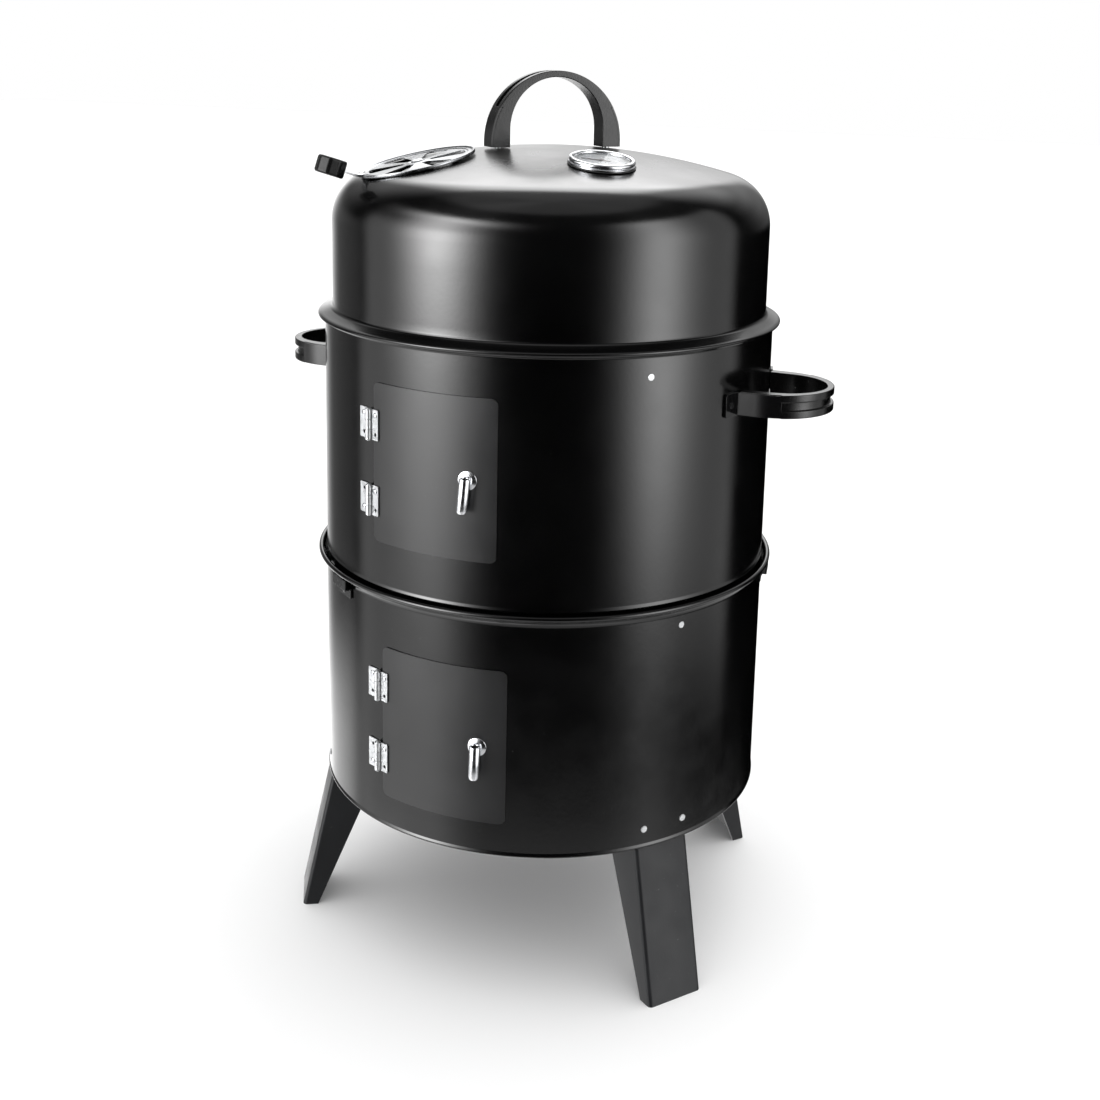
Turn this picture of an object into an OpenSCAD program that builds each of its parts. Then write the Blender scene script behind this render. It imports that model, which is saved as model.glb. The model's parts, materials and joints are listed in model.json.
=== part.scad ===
// Vertical water smoker: two stacked barrels, a domed lid, two doors, four folded legs,
// two cooking grates, a water pan and a charcoal pan. The floor is z = 0, the barrel axis
// is the z axis and the lower door faces -Y. Azimuths are degrees from -Y towards +X.

/* [Barrels] */
// Outer radius of both barrels
barrel_r = 200; // [190:1:215]
// Height of the lower barrel, bottom edge to collar bead
lower_h = 212; // [206:1:230]
// Height from the lower collar bead to the edge of the lid
upper_h = 216; // [210:1:235]
// Thickness of the sheet steel
sheet = 0.8; // [0.6:0.1:1]
// Turn of the upper barrel on the lower one
upper_turn = -3; // [-8:1:8]

/* [Lid] */
// Outer radius of the lid's upright skirt
lid_r = 193.4; // [192:0.2:194]
// Height from the edge of the lid to the end of the upright skirt
skirt_h = 81.5; // [70:0.5:95]
// Radius of the lid's rounded shoulder
shoulder_r = 45; // [38:1:50]
// Radius of the lid's shallow dome
dome_r = 590; // [560:10:640]
// Turn of the lid, as the azimuth of the thermometer
lid_turn = 48; // [40:1:56]

/* [Lid fittings] */
// Distance of the damper's pivot from the lid's axis
damper_at = 125; // [120:1:128]
// Radius of the damper disc
damper_r = 50.5; // [46:0.5:52]
// Number of openings in the damper
damper_slots = 6; // [4:1:8]
// Distance of the thermometer from the lid's axis
thermo_at = 104; // [98:1:110]
// Outer radius of the thermometer's bezel
thermo_r = 27.7; // [25:0.1:30]

/* [Doors] */
// Height of each door
door_h = 135; // [120:1:136]
// Half of the angle that each door spans
door_half = 17; // [14:0.5:18]
// Height of the lower door's bottom edge above the barrel's bottom edge
lower_door_up = 29; // [28:1:40]
// Height of the upper door's bottom edge above the lower collar
upper_door_up = 43; // [36:1:50]
// Overlap of each door on the edge of its opening
door_lap = 8; // [6:1:10]

/* [Handles] */
// Width of each handle's grip
grip_w = 20; // [18:1:24]
// Half of the side handles' outer width
side_half = 52; // [48:1:53]
// Reach of the side handles from their feet
side_reach = 65.4; // [60:0.2:72]
// Half of the lid handle's outer width
lid_half = 61.3; // [58:0.1:63]
// Height of the lid handle above its feet
lid_handle_h = 66; // [64:0.2:70]

/* [Legs] */
// Height of the lower barrel's bottom edge above the floor
leg_drop = 134; // [120:1:160]
// Width of a leg's outer face
leg_w = 54; // [48:1:56]
// Radius of a leg's outer face at the floor
foot_r = 226; // [210:1:232]
// Azimuth of the front legs, to either side of the lower door
front_leg_az = 57; // [52:1:62]
// Azimuth of the rear legs, to either side of the lower door
rear_leg_az = 143; // [135:1:150]

/* [Grates and pans] */
// Radius of the cooking grates
grate_r = 192; // [188:1:193]
// Depth of the water pan
pan_depth = 80; // [60:1:100]
// Height of the charcoal pan
coal_pan_h = 62; // [50:1:70]

/* [Hidden] */
$fn = 96;

// Heights of the three rims above the floor
z_bottom = leg_drop;
z_collar = z_bottom + lower_h;
z_lid = z_collar + upper_h;

// Rims: rolled beads on flared edges
collar_bead_r = 2.2;
collar_out = 5.4;
collar_flare_h = 9;
top_bead_r = 2;
top_bead_below = 1.4;
top_out = 2.4;
top_flare_h = 8;
neck_in = 2.2;
neck_shoulder = 5;
wall_in = barrel_r - sheet;

// Gaps: between resting flat faces, and between a turning part and its bearing
rest_gap = 0.05;
run_gap = 0.05;
lift_gap = 0.3;

// Supports for grates and pan
bracket_t = 1.5;
bracket_w = 20;
bracket_r = wall_in - 0.4;
bracket_reach = 24;
bracket_below = 10;
bracket_above = 12;
lower_screw_z = z_collar - 18;
upper_screw_z = z_lid - 21;
lower_bracket_az = [60, 180, 300];
upper_bracket_az = [52, 172, 292];
lower_ledge_z = lower_screw_z + bracket_above;
upper_ledge_z = upper_screw_z + bracket_above;
neck_bottom = lower_ledge_z + lift_gap;

// Screws, nuts and rivets
screw_r = 3;
screw_hole_r = 3.1;
head_r = 5.6;
head_h = 3.6;
nut_r = 5.5;
nut_h = 4.5;
shank_past_nut = 2;
rivet_r = 1.5;
rivet_head_r = 2.4;
rivet_head_h = 1;

// Doors, hinges and latches
door_gap = 0.3;
door_in = barrel_r + door_gap;
door_out = door_in + sheet;
door_corner = 5;
lower_door_az = 0;
lower_door_z = z_bottom + lower_door_up;
upper_door_z = z_collar + upper_door_up;
hinge_h = 26;
lower_hinge_inset = 21.5;
upper_hinge_inset = 23;
rivet_inset = 5;
knuckle_r = 2.8;
pin_r = 1.5;
leaf_t = 1;
leaf_lift = 0.1;
fixed_leaf_w = 14;
door_leaf_w = 11;
hinge_r = barrel_r + leaf_lift + knuckle_r + 0.3;
hinge_az = door_half + 1.15;
knuckles = 3;
latch_az = 10;
latch_up = 67;
rosette_r = 8;
rosette_t = 1.6;
shaft_r = 3;
lever_r = 4.6;
lever_bore_r = 3.3;
lever_l = 29.6;
lever_above = 3.4;
lever_standoff = 4.9;
lower_lever_lean = 1.5;
upper_lever_lean = 5;
tongue_l = 14;
tongue_w = 9;
tongue_t = 1.5;
tongue_depth = 3;

// Legs
leg_t = 2;
leg_face_r = 197;
leg_tab_up = 34;
leg_screw_up = 17;
leg_screw_x = 20;
flange_up = 8;
flange_top = 42;
flange_foot = 14;
leg_azs = [-front_leg_az, front_leg_az, -rear_leg_az, rear_leg_az];

// Rim clips under the collar
clip_azs = [-34, 104, 215];
clip_w = 26;
clip_t = 1.2;
clip_out = 6.5;
clip_below = 20;
clip_shelf_below = 12.4;
clip_top_below = 3.2;

// Lid outline, worked out from its arcs
shoulder_c = lid_r - shoulder_r;
dome_angle = asin(shoulder_c / (dome_r - shoulder_r));
joint_z = skirt_h + shoulder_r * cos(dome_angle);
apex_z = joint_z + dome_r * (1 - cos(dome_angle));
brim_r = barrel_r + 6.2;
brim_rise = 5.5;
brim_inner = 3.6;
brim_angle = atan2(brim_rise, brim_r - lid_r - brim_inner);

// Damper
land_lean = 1.3;
damper_tilt = asin(damper_at / dome_r) + land_lean;
land_r = 55;
land_drop = 1.2;
damper_t = 1.2;
damper_rim_w = 3;
damper_rim_h = 2.6;
slot_r0 = 11;
slot_r1 = 42;
slot_angle = 30;
hub_rivet_r = 3;
lever_rise = 31;
knob_at = 74;
knob_up = 16;
knob_r = 13;
knob_h = 15;
tab_w = 10;

// Thermometer
thermo_tilt = asin(thermo_at / dome_r);
case_h = 5.6;
case_wall = 3.2;
dial_r = 23;
stem_r = 3;
stem_l = 58;
boss_r = 7;
thermo_nut_r = 12;

// Handles
side_foot_t = 12;
lid_foot_t = 17.3;
grip_top_t = 5.6;
groove_w = 7.2;
groove_d = 3;
rebate_d = 2.1;
strap_t = 2;
strap_w = 19;
strap_up = 34;
foot_recess = 2.3;
lid_foot_gap = 2.2;
lid_flange_l = 14;
lid_flange_w = 6.8;
side_foot_y = barrel_r - 3.4;
side_foot_az = 17.3;
side_handle_az = [-86, 94];
side_handle_z = z_bottom + 374;

// Grates and pans
pan_floor_r = 146;
pan_bowl_r = 171;
pan_rim_r = 187;
coal_floor_r = 168;
coal_rim_r = 184;
ring_wire = 3;
bar_wire = 1.6;
cross_wire = 1.8;
bar_pitch = 15;
coal_ring_r = 166;
coal_grate_up = 14;
pan_t = 1;

// Turns a piece that was built on the -Y side to an azimuth
module at_az(a) { rotate([0, 0, a]) children(); }
module upper_frame() { rotate([0, 0, upper_turn]) children(); }
module lid_frame() { translate([0, 0, z_lid]) rotate([0, 0, lid_turn]) children(); }

// Height of the lid's outer dome above the lid's edge at a distance from its axis
function dome_z(r) = apex_z - dome_r + sqrt(dome_r * dome_r - r * r);

// Points along an arc, with angles measured from +X
function arc(cx, cy, r, a0, a1, n) =
    [for (i = [0:n]) let (a = a0 + (a1 - a0) * i / n) [cx + r * cos(a), cy + r * sin(a)]];

// Part of a tube's wall, between two azimuths
module wall_sector(r0, r1, z0, h, a0, a1) {
    rotate([0, 0, a0 - 90])
        rotate_extrude(angle = a1 - a0) translate([r0, z0]) square([r1 - r0, h]);
}

// A profile drawn as [y, z] and swept along x, centred
module swept_x(w) { rotate([90, 0, 90]) translate([0, 0, -w / 2]) linear_extrude(w) children(); }

// Round bar along -Y, from y = -r0 to y = -r1
module radial_bar(r0, r1, r) {
    translate([0, -r0, 0]) rotate([90, 0, 0]) cylinder(h = r1 - r0, r = r, $fn = 48);
}

// Domed head on the -Y side of the plane y = -r0
module dome_head(r0, r, h) {
    ball = (r * r + h * h) / (2 * h);
    translate([0, -r0, 0]) rotate([90, 0, 0]) intersection() {
        translate([0, 0, h - ball]) sphere(r = ball, $fn = 64);
        cylinder(h = h + 1, r = r + 1, $fn = 64);
    }
}

// Screw from outside the wall, with its head on y = -seat and its end at y = -end
module wall_screw(seat, end) {
    dome_head(seat, head_r, head_h);
    radial_bar(end, seat + 0.5, screw_r);
}

// Nut whose outer face is at y = -r1
module wall_nut(r1) {
    translate([0, -r1 + nut_h, 0]) rotate([90, 0, 0]) difference() {
        cylinder(h = nut_h, r = nut_r, $fn = 6);
        translate([0, 0, -1]) cylinder(h = nut_h + 2, r = screw_r + run_gap, $fn = 48);
    }
}

// ---------- barrels ----------

module lower_barrel_outline() {
    polygon(concat(
        [[wall_in, z_collar - collar_flare_h + 0.4], [wall_in, z_bottom], [barrel_r, z_bottom],
        [barrel_r, z_collar - collar_flare_h]],
        arc(barrel_r + collar_out, z_collar, collar_bead_r, -75, 190, 20)
    ));
}

module upper_barrel_outline() {
    shoulder_z = z_collar + neck_shoulder;
    bead_z = z_lid - top_bead_below;
    polygon(concat(
        [[wall_in, bead_z - top_flare_h + 0.4], [wall_in, shoulder_z + 0.3],
        [wall_in - neck_in, shoulder_z - neck_in + 0.3], [wall_in - neck_in, neck_bottom],
        [barrel_r - neck_in, neck_bottom], [barrel_r - neck_in, shoulder_z - neck_in],
        [barrel_r, shoulder_z], [barrel_r, bead_z - top_flare_h]],
        arc(barrel_r + top_out, bead_z, top_bead_r, -75, 190, 20)
    ));
}

// Opening behind a door, centred on -Y
module door_opening(z0) {
    half_w = barrel_r * sin(door_half) - door_lap;
    translate([-half_w, -barrel_r - 20, z0 + door_lap]) cube([2 * half_w, 40, door_h - 2 * door_lap]);
}

module screw_hole(z) { translate([0, 0, z]) radial_bar(barrel_r - 20, barrel_r + 20, screw_hole_r); }

module lower_barrel() {
    color("#101010") difference() {
        rotate_extrude($fn = 180) lower_barrel_outline();
        at_az(lower_door_az) door_opening(lower_door_z);
        for (a = lower_bracket_az) at_az(a) screw_hole(lower_screw_z);
        for (a = leg_azs, x = [-leg_screw_x, leg_screw_x])
            at_az(a) translate([x, 0, 0]) screw_hole(z_bottom + leg_screw_up);
        for (a = clip_azs) at_az(a)
            translate([0, 0, z_collar - clip_below + 4]) radial_bar(barrel_r - 20, barrel_r + 20, rivet_r);
    }
}

module upper_barrel() {
    color("#101010") upper_frame() difference() {
        rotate_extrude($fn = 180) upper_barrel_outline();
        door_opening(upper_door_z);
        for (a = upper_bracket_az) at_az(a) screw_hole(upper_screw_z);
        for (side = side_handle_az, a = [-side_foot_az, side_foot_az]) at_az(side + a)
            screw_hole(side_handle_z);
    }
}

// Folded clip under the collar, with its rivet
module rim_clip() {
    swept_x(clip_w) polygon([
        [-barrel_r - 0.1, z_collar - clip_below],
        [-barrel_r - 0.1, z_collar - clip_shelf_below + clip_t],
        [-barrel_r - clip_out + clip_t, z_collar - clip_shelf_below + clip_t],
        [-barrel_r - clip_out + clip_t, z_collar - clip_top_below],
        [-barrel_r - clip_out, z_collar - clip_top_below],
        [-barrel_r - clip_out, z_collar - clip_shelf_below],
        [-barrel_r - 0.1 - clip_t, z_collar - clip_shelf_below],
        [-barrel_r - 0.1 - clip_t, z_collar - clip_below]
    ]);
    translate([0, 0, z_collar - clip_below + 4]) {
        dome_head(barrel_r + clip_t, rivet_head_r, rivet_head_h);
        radial_bar(wall_in - 1, barrel_r + clip_t, rivet_r);
    }
}

module rim_clips() { color("#181818") for (a = clip_azs) at_az(a) rim_clip(); }

// ---------- supports for the grates and the water pan ----------

module support_bracket(screw_z) {
    ledge_z = screw_z + bracket_above;
    difference() {
        swept_x(bracket_w) polygon([
            [-bracket_r, screw_z - bracket_below], [-bracket_r, ledge_z],
            [-bracket_r + bracket_reach, ledge_z], [-bracket_r + bracket_reach, ledge_z - bracket_t],
            [-bracket_r + bracket_t, ledge_z - bracket_t], [-bracket_r + bracket_t, screw_z - bracket_below]
        ]);
        screw_hole(screw_z);
    }
}

module bracket_screw(z) {
    translate([0, 0, z]) wall_screw(barrel_r + 0.05, bracket_r - bracket_t - nut_h - shank_past_nut);
}
module bracket_nut(z) { translate([0, 0, z]) wall_nut(bracket_r - bracket_t - rest_gap); }

module lower_support_brackets() {
    color("#8d8f91") for (a = lower_bracket_az) at_az(a) support_bracket(lower_screw_z);
}
module lower_bracket_screws() {
    color("#d0d2d4") for (a = lower_bracket_az) at_az(a) bracket_screw(lower_screw_z);
}
module lower_bracket_nuts() {
    color("#b9bbbd") for (a = lower_bracket_az) at_az(a) bracket_nut(lower_screw_z);
}

module upper_support_brackets() {
    color("#8d8f91") upper_frame() for (a = upper_bracket_az) at_az(a) support_bracket(upper_screw_z);
}
module upper_bracket_screws() {
    color("#d0d2d4") upper_frame() for (a = upper_bracket_az) at_az(a) bracket_screw(upper_screw_z);
}

// ---------- legs ----------

// Channel folded from one sheet, upright inside the barrel and splayed below it
module leg(a) {
    z0 = z_bottom;
    lean = (foot_r - leg_face_r) / z0;
    color("#222324") at_az(a) difference() {
        union() {
            swept_x(leg_w) polygon([
                [-leg_face_r, z0 + leg_tab_up], [-leg_face_r, z0], [-foot_r, 0], [-foot_r + leg_t, 0],
                [-leg_face_r + leg_t, z0 - leg_t * lean], [-leg_face_r + leg_t, z0 + leg_tab_up]
            ]);
            for (s = [-1, 1]) translate([s * (leg_w - leg_t) / 2, 0, 0]) swept_x(leg_t) polygon([
                [-leg_face_r, z0 + flange_up], [-leg_face_r, z0], [-foot_r, 0], [-foot_r + flange_foot, 0],
                [-leg_face_r + flange_top, z0], [-leg_face_r + flange_top, z0 + flange_up]
            ]);
        }
        for (x = [-leg_screw_x, leg_screw_x]) translate([x, 0, 0]) screw_hole(z0 + leg_screw_up);
    }
}

module leg_front_left() { leg(-front_leg_az); }
module leg_front_right() { leg(front_leg_az); }
module leg_rear_left() { leg(-rear_leg_az); }
module leg_rear_right() { leg(rear_leg_az); }

module leg_fasteners() {
    for (a = leg_azs, x = [-leg_screw_x, leg_screw_x])
        at_az(a) translate([x, 0, z_bottom + leg_screw_up]) children();
}
module leg_screws() {
    color("#d0d2d4") leg_fasteners()
        wall_screw(barrel_r - 0.4, leg_face_r - leg_t - nut_h - shank_past_nut);
}
module leg_nuts() { color("#b9bbbd") leg_fasteners() wall_nut(leg_face_r - leg_t - rest_gap); }

// ---------- doors and hinges ----------

module door_panel(z0) {
    half_w = barrel_r * sin(door_half) + 2;
    difference() {
        intersection() {
            wall_sector(door_in, door_out, z0, door_h, -door_half, door_half);
            translate([0, -barrel_r - 20, z0]) rotate([-90, 0, 0]) linear_extrude(60) polygon([
                [-half_w + door_corner, 0], [half_w - door_corner, 0], [half_w, -door_corner],
                [half_w, -door_h + door_corner], [half_w - door_corner, -door_h],
                [-half_w + door_corner, -door_h], [-half_w, -door_h + door_corner], [-half_w, -door_corner]
            ]);
        }
        at_az(latch_az) translate([0, 0, z0 + latch_up])
            radial_bar(barrel_r - 20, barrel_r + 20, shaft_r + run_gap);
    }
}

// Bottom heights of a door's two hinges
function hinge_zs(z0) = [z0 + lower_hinge_inset, z0 + door_h - upper_hinge_inset - hinge_h];

// Knuckles of one leaf: first = 0 gives the outer ones, first = 1 the middle one
module hinge_knuckles(first, bore) {
    seg = hinge_h / knuckles;
    for (i = [first:2:knuckles - 1]) translate([0, -hinge_r, i * seg + run_gap]) difference() {
        cylinder(h = seg - 2 * run_gap, r = knuckle_r, $fn = 48);
        translate([0, 0, -1]) cylinder(h = seg + 2, r = bore, $fn = 48);
    }
}

// Leaf plate between x0 and x1 with its back at y = -back, joined to knuckles
module hinge_leaf(x0, x1, back, first) {
    seg = hinge_h / knuckles;
    difference() {
        union() {
            translate([x0, -back - leaf_t, run_gap]) cube([x1 - x0, leaf_t, hinge_h - 2 * run_gap]);
            hinge_knuckles(first, 0.1);
        }
        for (i = [1 - first:2:knuckles - 1])
            translate([0, -hinge_r, i * seg - run_gap])
                cylinder(h = seg + 2 * run_gap, r = knuckle_r + 0.4, $fn = 48);
        translate([0, -hinge_r, -1]) cylinder(h = hinge_h + 2, r = pin_r + run_gap, $fn = 48);
        for (z = [rivet_inset, hinge_h - rivet_inset]) translate([(x0 + x1) / 2 + sign(x0 + x1) * 1.5, 0, z])
            radial_bar(back - 10, back + 10, rivet_r + run_gap);
    }
}

module fixed_leaves(z0) {
    for (z = hinge_zs(z0)) at_az(-hinge_az) translate([0, 0, z])
        hinge_leaf(-fixed_leaf_w, -0.5, barrel_r + leaf_lift, 0);
}
module door_leaves(z0) {
    for (z = hinge_zs(z0)) at_az(-hinge_az) translate([0, 0, z])
        hinge_leaf(1.2, door_leaf_w, door_out + leaf_lift, 1);
}
module hinge_pins(z0) {
    for (z = hinge_zs(z0)) at_az(-hinge_az) translate([0, -hinge_r, z - 1])
        cylinder(h = hinge_h + 2, r = pin_r, $fn = 48);
}

// One rivet in each leaf; x is its place across the leaf, back the leaf's rear face, face the
// radius of the sheet behind it, and ups its heights in the lower and the upper hinge
module leaf_rivets(z0, x, back, face, ups) {
    end = sqrt(face * face - pow(abs(x) - rivet_r, 2)) + 0.03;
    for (i = [0, 1]) at_az(-hinge_az) translate([x, 0, hinge_zs(z0)[i] + ups[i]]) {
        dome_head(back + leaf_t, rivet_head_r, rivet_head_h);
        radial_bar(end, back + leaf_t + 0.1, rivet_r);
    }
}
fixed_rivet_x = -(fixed_leaf_w + 0.5) / 2 - 1.5;
door_rivet_x = (door_leaf_w + 1.2) / 2 + 1.5;
top_rivet = hinge_h - rivet_inset;
module fixed_rivets(z0) {
    leaf_rivets(z0, fixed_rivet_x, barrel_r + leaf_lift, barrel_r, [rivet_inset, top_rivet]);
}
module door_rivets(z0) {
    leaf_rivets(z0, door_rivet_x, door_out + leaf_lift, door_out, [top_rivet, top_rivet]);
}

module lower_hinge_fixed_leaves() { color("#c9cbcd") fixed_leaves(lower_door_z); }
module lower_hinge_door_leaves() { color("#c9cbcd") door_leaves(lower_door_z); }
module lower_hinge_pins() { color("#9a9c9e") hinge_pins(lower_door_z); }
module lower_hinge_rivets() { color("#b9bbbd") fixed_rivets(lower_door_z); }
module lower_door_rivets() { color("#b9bbbd") door_rivets(lower_door_z); }
module lower_door() { color("#131313") door_panel(lower_door_z); }

module upper_hinge_fixed_leaves() { color("#c9cbcd") upper_frame() fixed_leaves(upper_door_z); }
module upper_hinge_door_leaves() { color("#c9cbcd") upper_frame() door_leaves(upper_door_z); }
module upper_hinge_pins() { color("#9a9c9e") upper_frame() hinge_pins(upper_door_z); }
module upper_hinge_rivets() { color("#b9bbbd") upper_frame() fixed_rivets(upper_door_z); }
module upper_door_rivets() { color("#b9bbbd") upper_frame() door_rivets(upper_door_z); }
module upper_door() { color("#131313") upper_frame() door_panel(upper_door_z); }

// ---------- latches ----------

module latch_frame(z0) { at_az(latch_az) translate([0, 0, z0 + latch_up]) children(); }
rosette_seat = door_out + 0.1;
lever_y = rosette_seat + rosette_t + lever_standoff;
tongue_y = door_in - tongue_depth;

module rosette() {
    difference() {
        translate([0, -rosette_seat, 0]) rotate([90, 0, 0]) rotate_extrude($fn = 128) polygon([
            [0, 0], [rosette_r, 0], [rosette_r, 0.5], [0.7 * rosette_r, 0.75 * rosette_t],
            [0.5 * rosette_r, rosette_t], [0, rosette_t]
        ]);
        radial_bar(barrel_r - 5, barrel_r + 20, shaft_r + run_gap);
    }
}

// Round lever hanging from its shaft, bored from its top end and turned a little on the shaft
module lever(lean) {
    rotate([0, lean, 0]) difference() {
        union() {
            translate([0, -lever_y, lever_above - lever_l]) cylinder(h = lever_l, r = lever_r, $fn = 48);
            radial_bar(tongue_y - tongue_t - nut_h, lever_y, shaft_r);
        }
        translate([0, -lever_y, lever_above - lever_l + 4]) cylinder(h = lever_l, r = lever_bore_r, $fn = 48);
    }
}
module tongue() {
    difference() {
        translate([-tongue_w / 2, -tongue_y, -tongue_w / 2])
            cube([tongue_l + tongue_w / 2, tongue_t, tongue_w]);
        radial_bar(barrel_r - 20, barrel_r, shaft_r);
    }
}
module latch_nut() {
    y1 = tongue_y - tongue_t - rest_gap;
    translate([0, -y1 + nut_h - 1, 0]) rotate([90, 0, 0]) difference() {
        cylinder(h = nut_h - 1, r = nut_r, $fn = 6);
        translate([0, 0, -1]) cylinder(h = nut_h + 1, r = shaft_r + run_gap, $fn = 48);
    }
}

module lower_latch_rosette() { color("#d0d2d4") latch_frame(lower_door_z) rosette(); }
module lower_latch_lever() { color("#d0d2d4") latch_frame(lower_door_z) lever(lower_lever_lean); }
module lower_latch_tongue() { color("#8d8f91") latch_frame(lower_door_z) tongue(); }
module lower_latch_nut() { color("#b9bbbd") latch_frame(lower_door_z) latch_nut(); }
module upper_latch_rosette() { color("#d0d2d4") upper_frame() latch_frame(upper_door_z) rosette(); }
module upper_latch_lever() {
    color("#d0d2d4") upper_frame() latch_frame(upper_door_z) lever(upper_lever_lean);
}
module upper_latch_tongue() { color("#8d8f91") upper_frame() latch_frame(upper_door_z) tongue(); }
module upper_latch_nut() { color("#b9bbbd") upper_frame() latch_frame(upper_door_z) latch_nut(); }

// ---------- handles ----------

// Outer side view of an arched grip standing on y = 0, sunk all round
module arch_side(half, h, sunk) {
    translate([0, h - half]) circle(r = half - sunk, $fn = 128);
    translate([-half + sunk, 0]) square([2 * (half - sunk), h - half]);
}
module arch_inside(half, h, foot_t) {
    ri = half - foot_t;
    translate([0, h - grip_top_t - ri]) circle(r = ri, $fn = 128);
    translate([-ri, -1]) square([2 * ri, h - grip_top_t - ri + 1]);
}
module below_feet(half) { translate([-half, -2 * half]) square([2 * half, 2 * half]); }

// Arched grip in the XY plane with its feet on y = 0, grooved around the outside. Its legs are
// set in for the straps, and the core between the cheeks stops at a height above the feet.
module arch_grip(half, h, foot_t, core_from) {
    cheek = (grip_w - groove_w) / 2;
    for (s = [-1, 1]) translate([0, 0, s * (grip_w - cheek) / 2 - cheek / 2]) linear_extrude(cheek)
        difference() {
            arch_side(half, h, 0);
            arch_inside(half, h, foot_t);
            below_feet(half);
            difference() {
                translate([-half - 1, -1]) square([2 * half + 2, strap_up + rest_gap + 1]);
                arch_side(half, h, rebate_d);
            }
        }
    translate([0, 0, -groove_w / 2]) linear_extrude(groove_w) difference() {
        arch_side(half, h, groove_d);
        arch_inside(half, h, foot_t);
        translate([0, core_from]) below_feet(half);
    }
}

// Curved strap lying against the grip's leg on the +X side, starting at y = from
module strap(half, h, from) {
    translate([0, 0, -strap_w / 2]) linear_extrude(strap_w) intersection() {
        difference() {
            arch_side(half, h, rebate_d - rest_gap - strap_t);
            arch_side(half, h, rebate_d - rest_gap);
        }
        translate([0, from]) square([half, strap_up - from]);
    }
}

module side_grip_frame(side) {
    upper_frame() at_az(side) translate([0, -side_foot_y, side_handle_z]) rotate([180, 0, 0]) children();
}
module side_grip(i) {
    color("#161616") side_grip_frame(side_handle_az[i]) arch_grip(side_half, side_reach, side_foot_t, 0);
}
module right_handle_grip() { side_grip(1); }
module left_handle_grip() { side_grip(0); }

// Strap and foot on the barrel beside the grip's +X end
module side_bracket() {
    difference() {
        union() {
            translate([0, -side_foot_y, 0]) rotate([180, 0, 0]) {
                strap(side_half, side_reach, 0);
                translate([side_half - rebate_d + rest_gap, -1.5, -strap_w / 2])
                    cube([strap_t, 1.6, strap_w]);
            }
            at_az(side_foot_az) translate([-10, -barrel_r - 0.2 - strap_t, -grip_w / 2])
                cube([18, strap_t, grip_w]);
        }
        at_az(side_foot_az) radial_bar(barrel_r - 20, barrel_r + 20, screw_hole_r);
    }
}
module side_handle_brackets() {
    color("#161616") upper_frame() for (side = side_handle_az, m = [0, 1])
        at_az(side) translate([0, 0, side_handle_z]) mirror([m, 0, 0]) side_bracket();
}
module side_foot_frame() {
    upper_frame() for (side = side_handle_az, s = [-1, 1])
        at_az(side + s * side_foot_az) translate([0, 0, side_handle_z]) children();
}
module side_handle_screws() {
    color("#3a3b3c") side_foot_frame()
        wall_screw(barrel_r + 0.25 + strap_t, wall_in - nut_h - shank_past_nut);
}
module upper_barrel_nuts() {
    color("#b9bbbd") {
        upper_frame() for (a = upper_bracket_az) at_az(a) bracket_nut(upper_screw_z);
        side_foot_frame() wall_nut(wall_in - 0.2);
    }
}

// ---------- lid ----------

// Points of the lid's dome, shoulder and skirt, at a depth below its outer face
function lid_points(d) = concat(
    arc(0, apex_z - dome_r, dome_r - d, 90, 90 - dome_angle, 12),
    arc(shoulder_c, skirt_h, shoulder_r - d, 90 - dome_angle - 8, 0, 10),
    [[lid_r - d, brim_rise + brim_inner]]
);
function reversed(p) = [for (i = [len(p) - 1:-1:0]) p[i]];

module lid_outline() {
    under = sheet * [sin(brim_angle), cos(brim_angle)];
    outer = concat(lid_points(0), [
        [lid_r + brim_inner * 0.3, brim_rise + brim_inner * 0.3], [lid_r + brim_inner, brim_rise], [brim_r, 0]
    ]);
    inner = concat(lid_points(sheet), [
        [lid_r + brim_inner * 0.3 - sheet * 0.7, brim_rise + brim_inner * 0.3 - sheet * 0.7],
        [lid_r + brim_inner, brim_rise] - under, [brim_r, 0] - under
    ]);
    polygon(concat(outer, reversed(inner)));
}
module lid_fill_outline() { polygon(concat(lid_points(0.1), [[0, brim_rise + brim_inner]])); }

module damper_frame() {
    at_az(-90) translate([0, -damper_at, dome_z(damper_at)]) rotate([damper_tilt, 0, 0])
        translate([0, 0, -land_drop]) children();
}
module thermo_frame() {
    translate([0, -thermo_at, dome_z(thermo_at)]) rotate([thermo_tilt, 0, 0]) children();
}

// Wedge openings, shared by the lid's flat land and the damper disc
module slots(shift) {
    for (i = [0:damper_slots - 1]) rotate([0, 0, i * 360 / damper_slots + shift - slot_angle / 2])
        rotate_extrude(angle = slot_angle) translate([slot_r0, -5]) square([slot_r1 - slot_r0, 10]);
}

// Distance of the lid handle's screws from the lid's axis, and height of its feet above the lid's edge
handle_foot_x = lid_half - groove_d - 7;
handle_foot_z = dome_z(lid_half) + lid_foot_gap;

module lid_shell() {
    color("#0e0e0e") lid_frame() difference() {
        union() {
            difference() {
                rotate_extrude($fn = 180) lid_outline();
                damper_frame() cylinder(h = 30, r = land_r);
            }
            intersection() {
                rotate_extrude($fn = 180) lid_fill_outline();
                damper_frame() translate([0, 0, -sheet]) cylinder(h = sheet, r = land_r + 1);
            }
        }
        damper_frame() slots(0);
        damper_frame() translate([0, 0, -5]) cylinder(h = 10, r = hub_rivet_r, $fn = 48);
        thermo_frame() translate([0, 0, -20]) cylinder(h = 40, r = boss_r + run_gap, $fn = 48);
        for (s = [-1, 1]) translate([s * handle_foot_x, 0, apex_z - 20])
            cylinder(h = 40, r = screw_hole_r, $fn = 48);
    }
}

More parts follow.
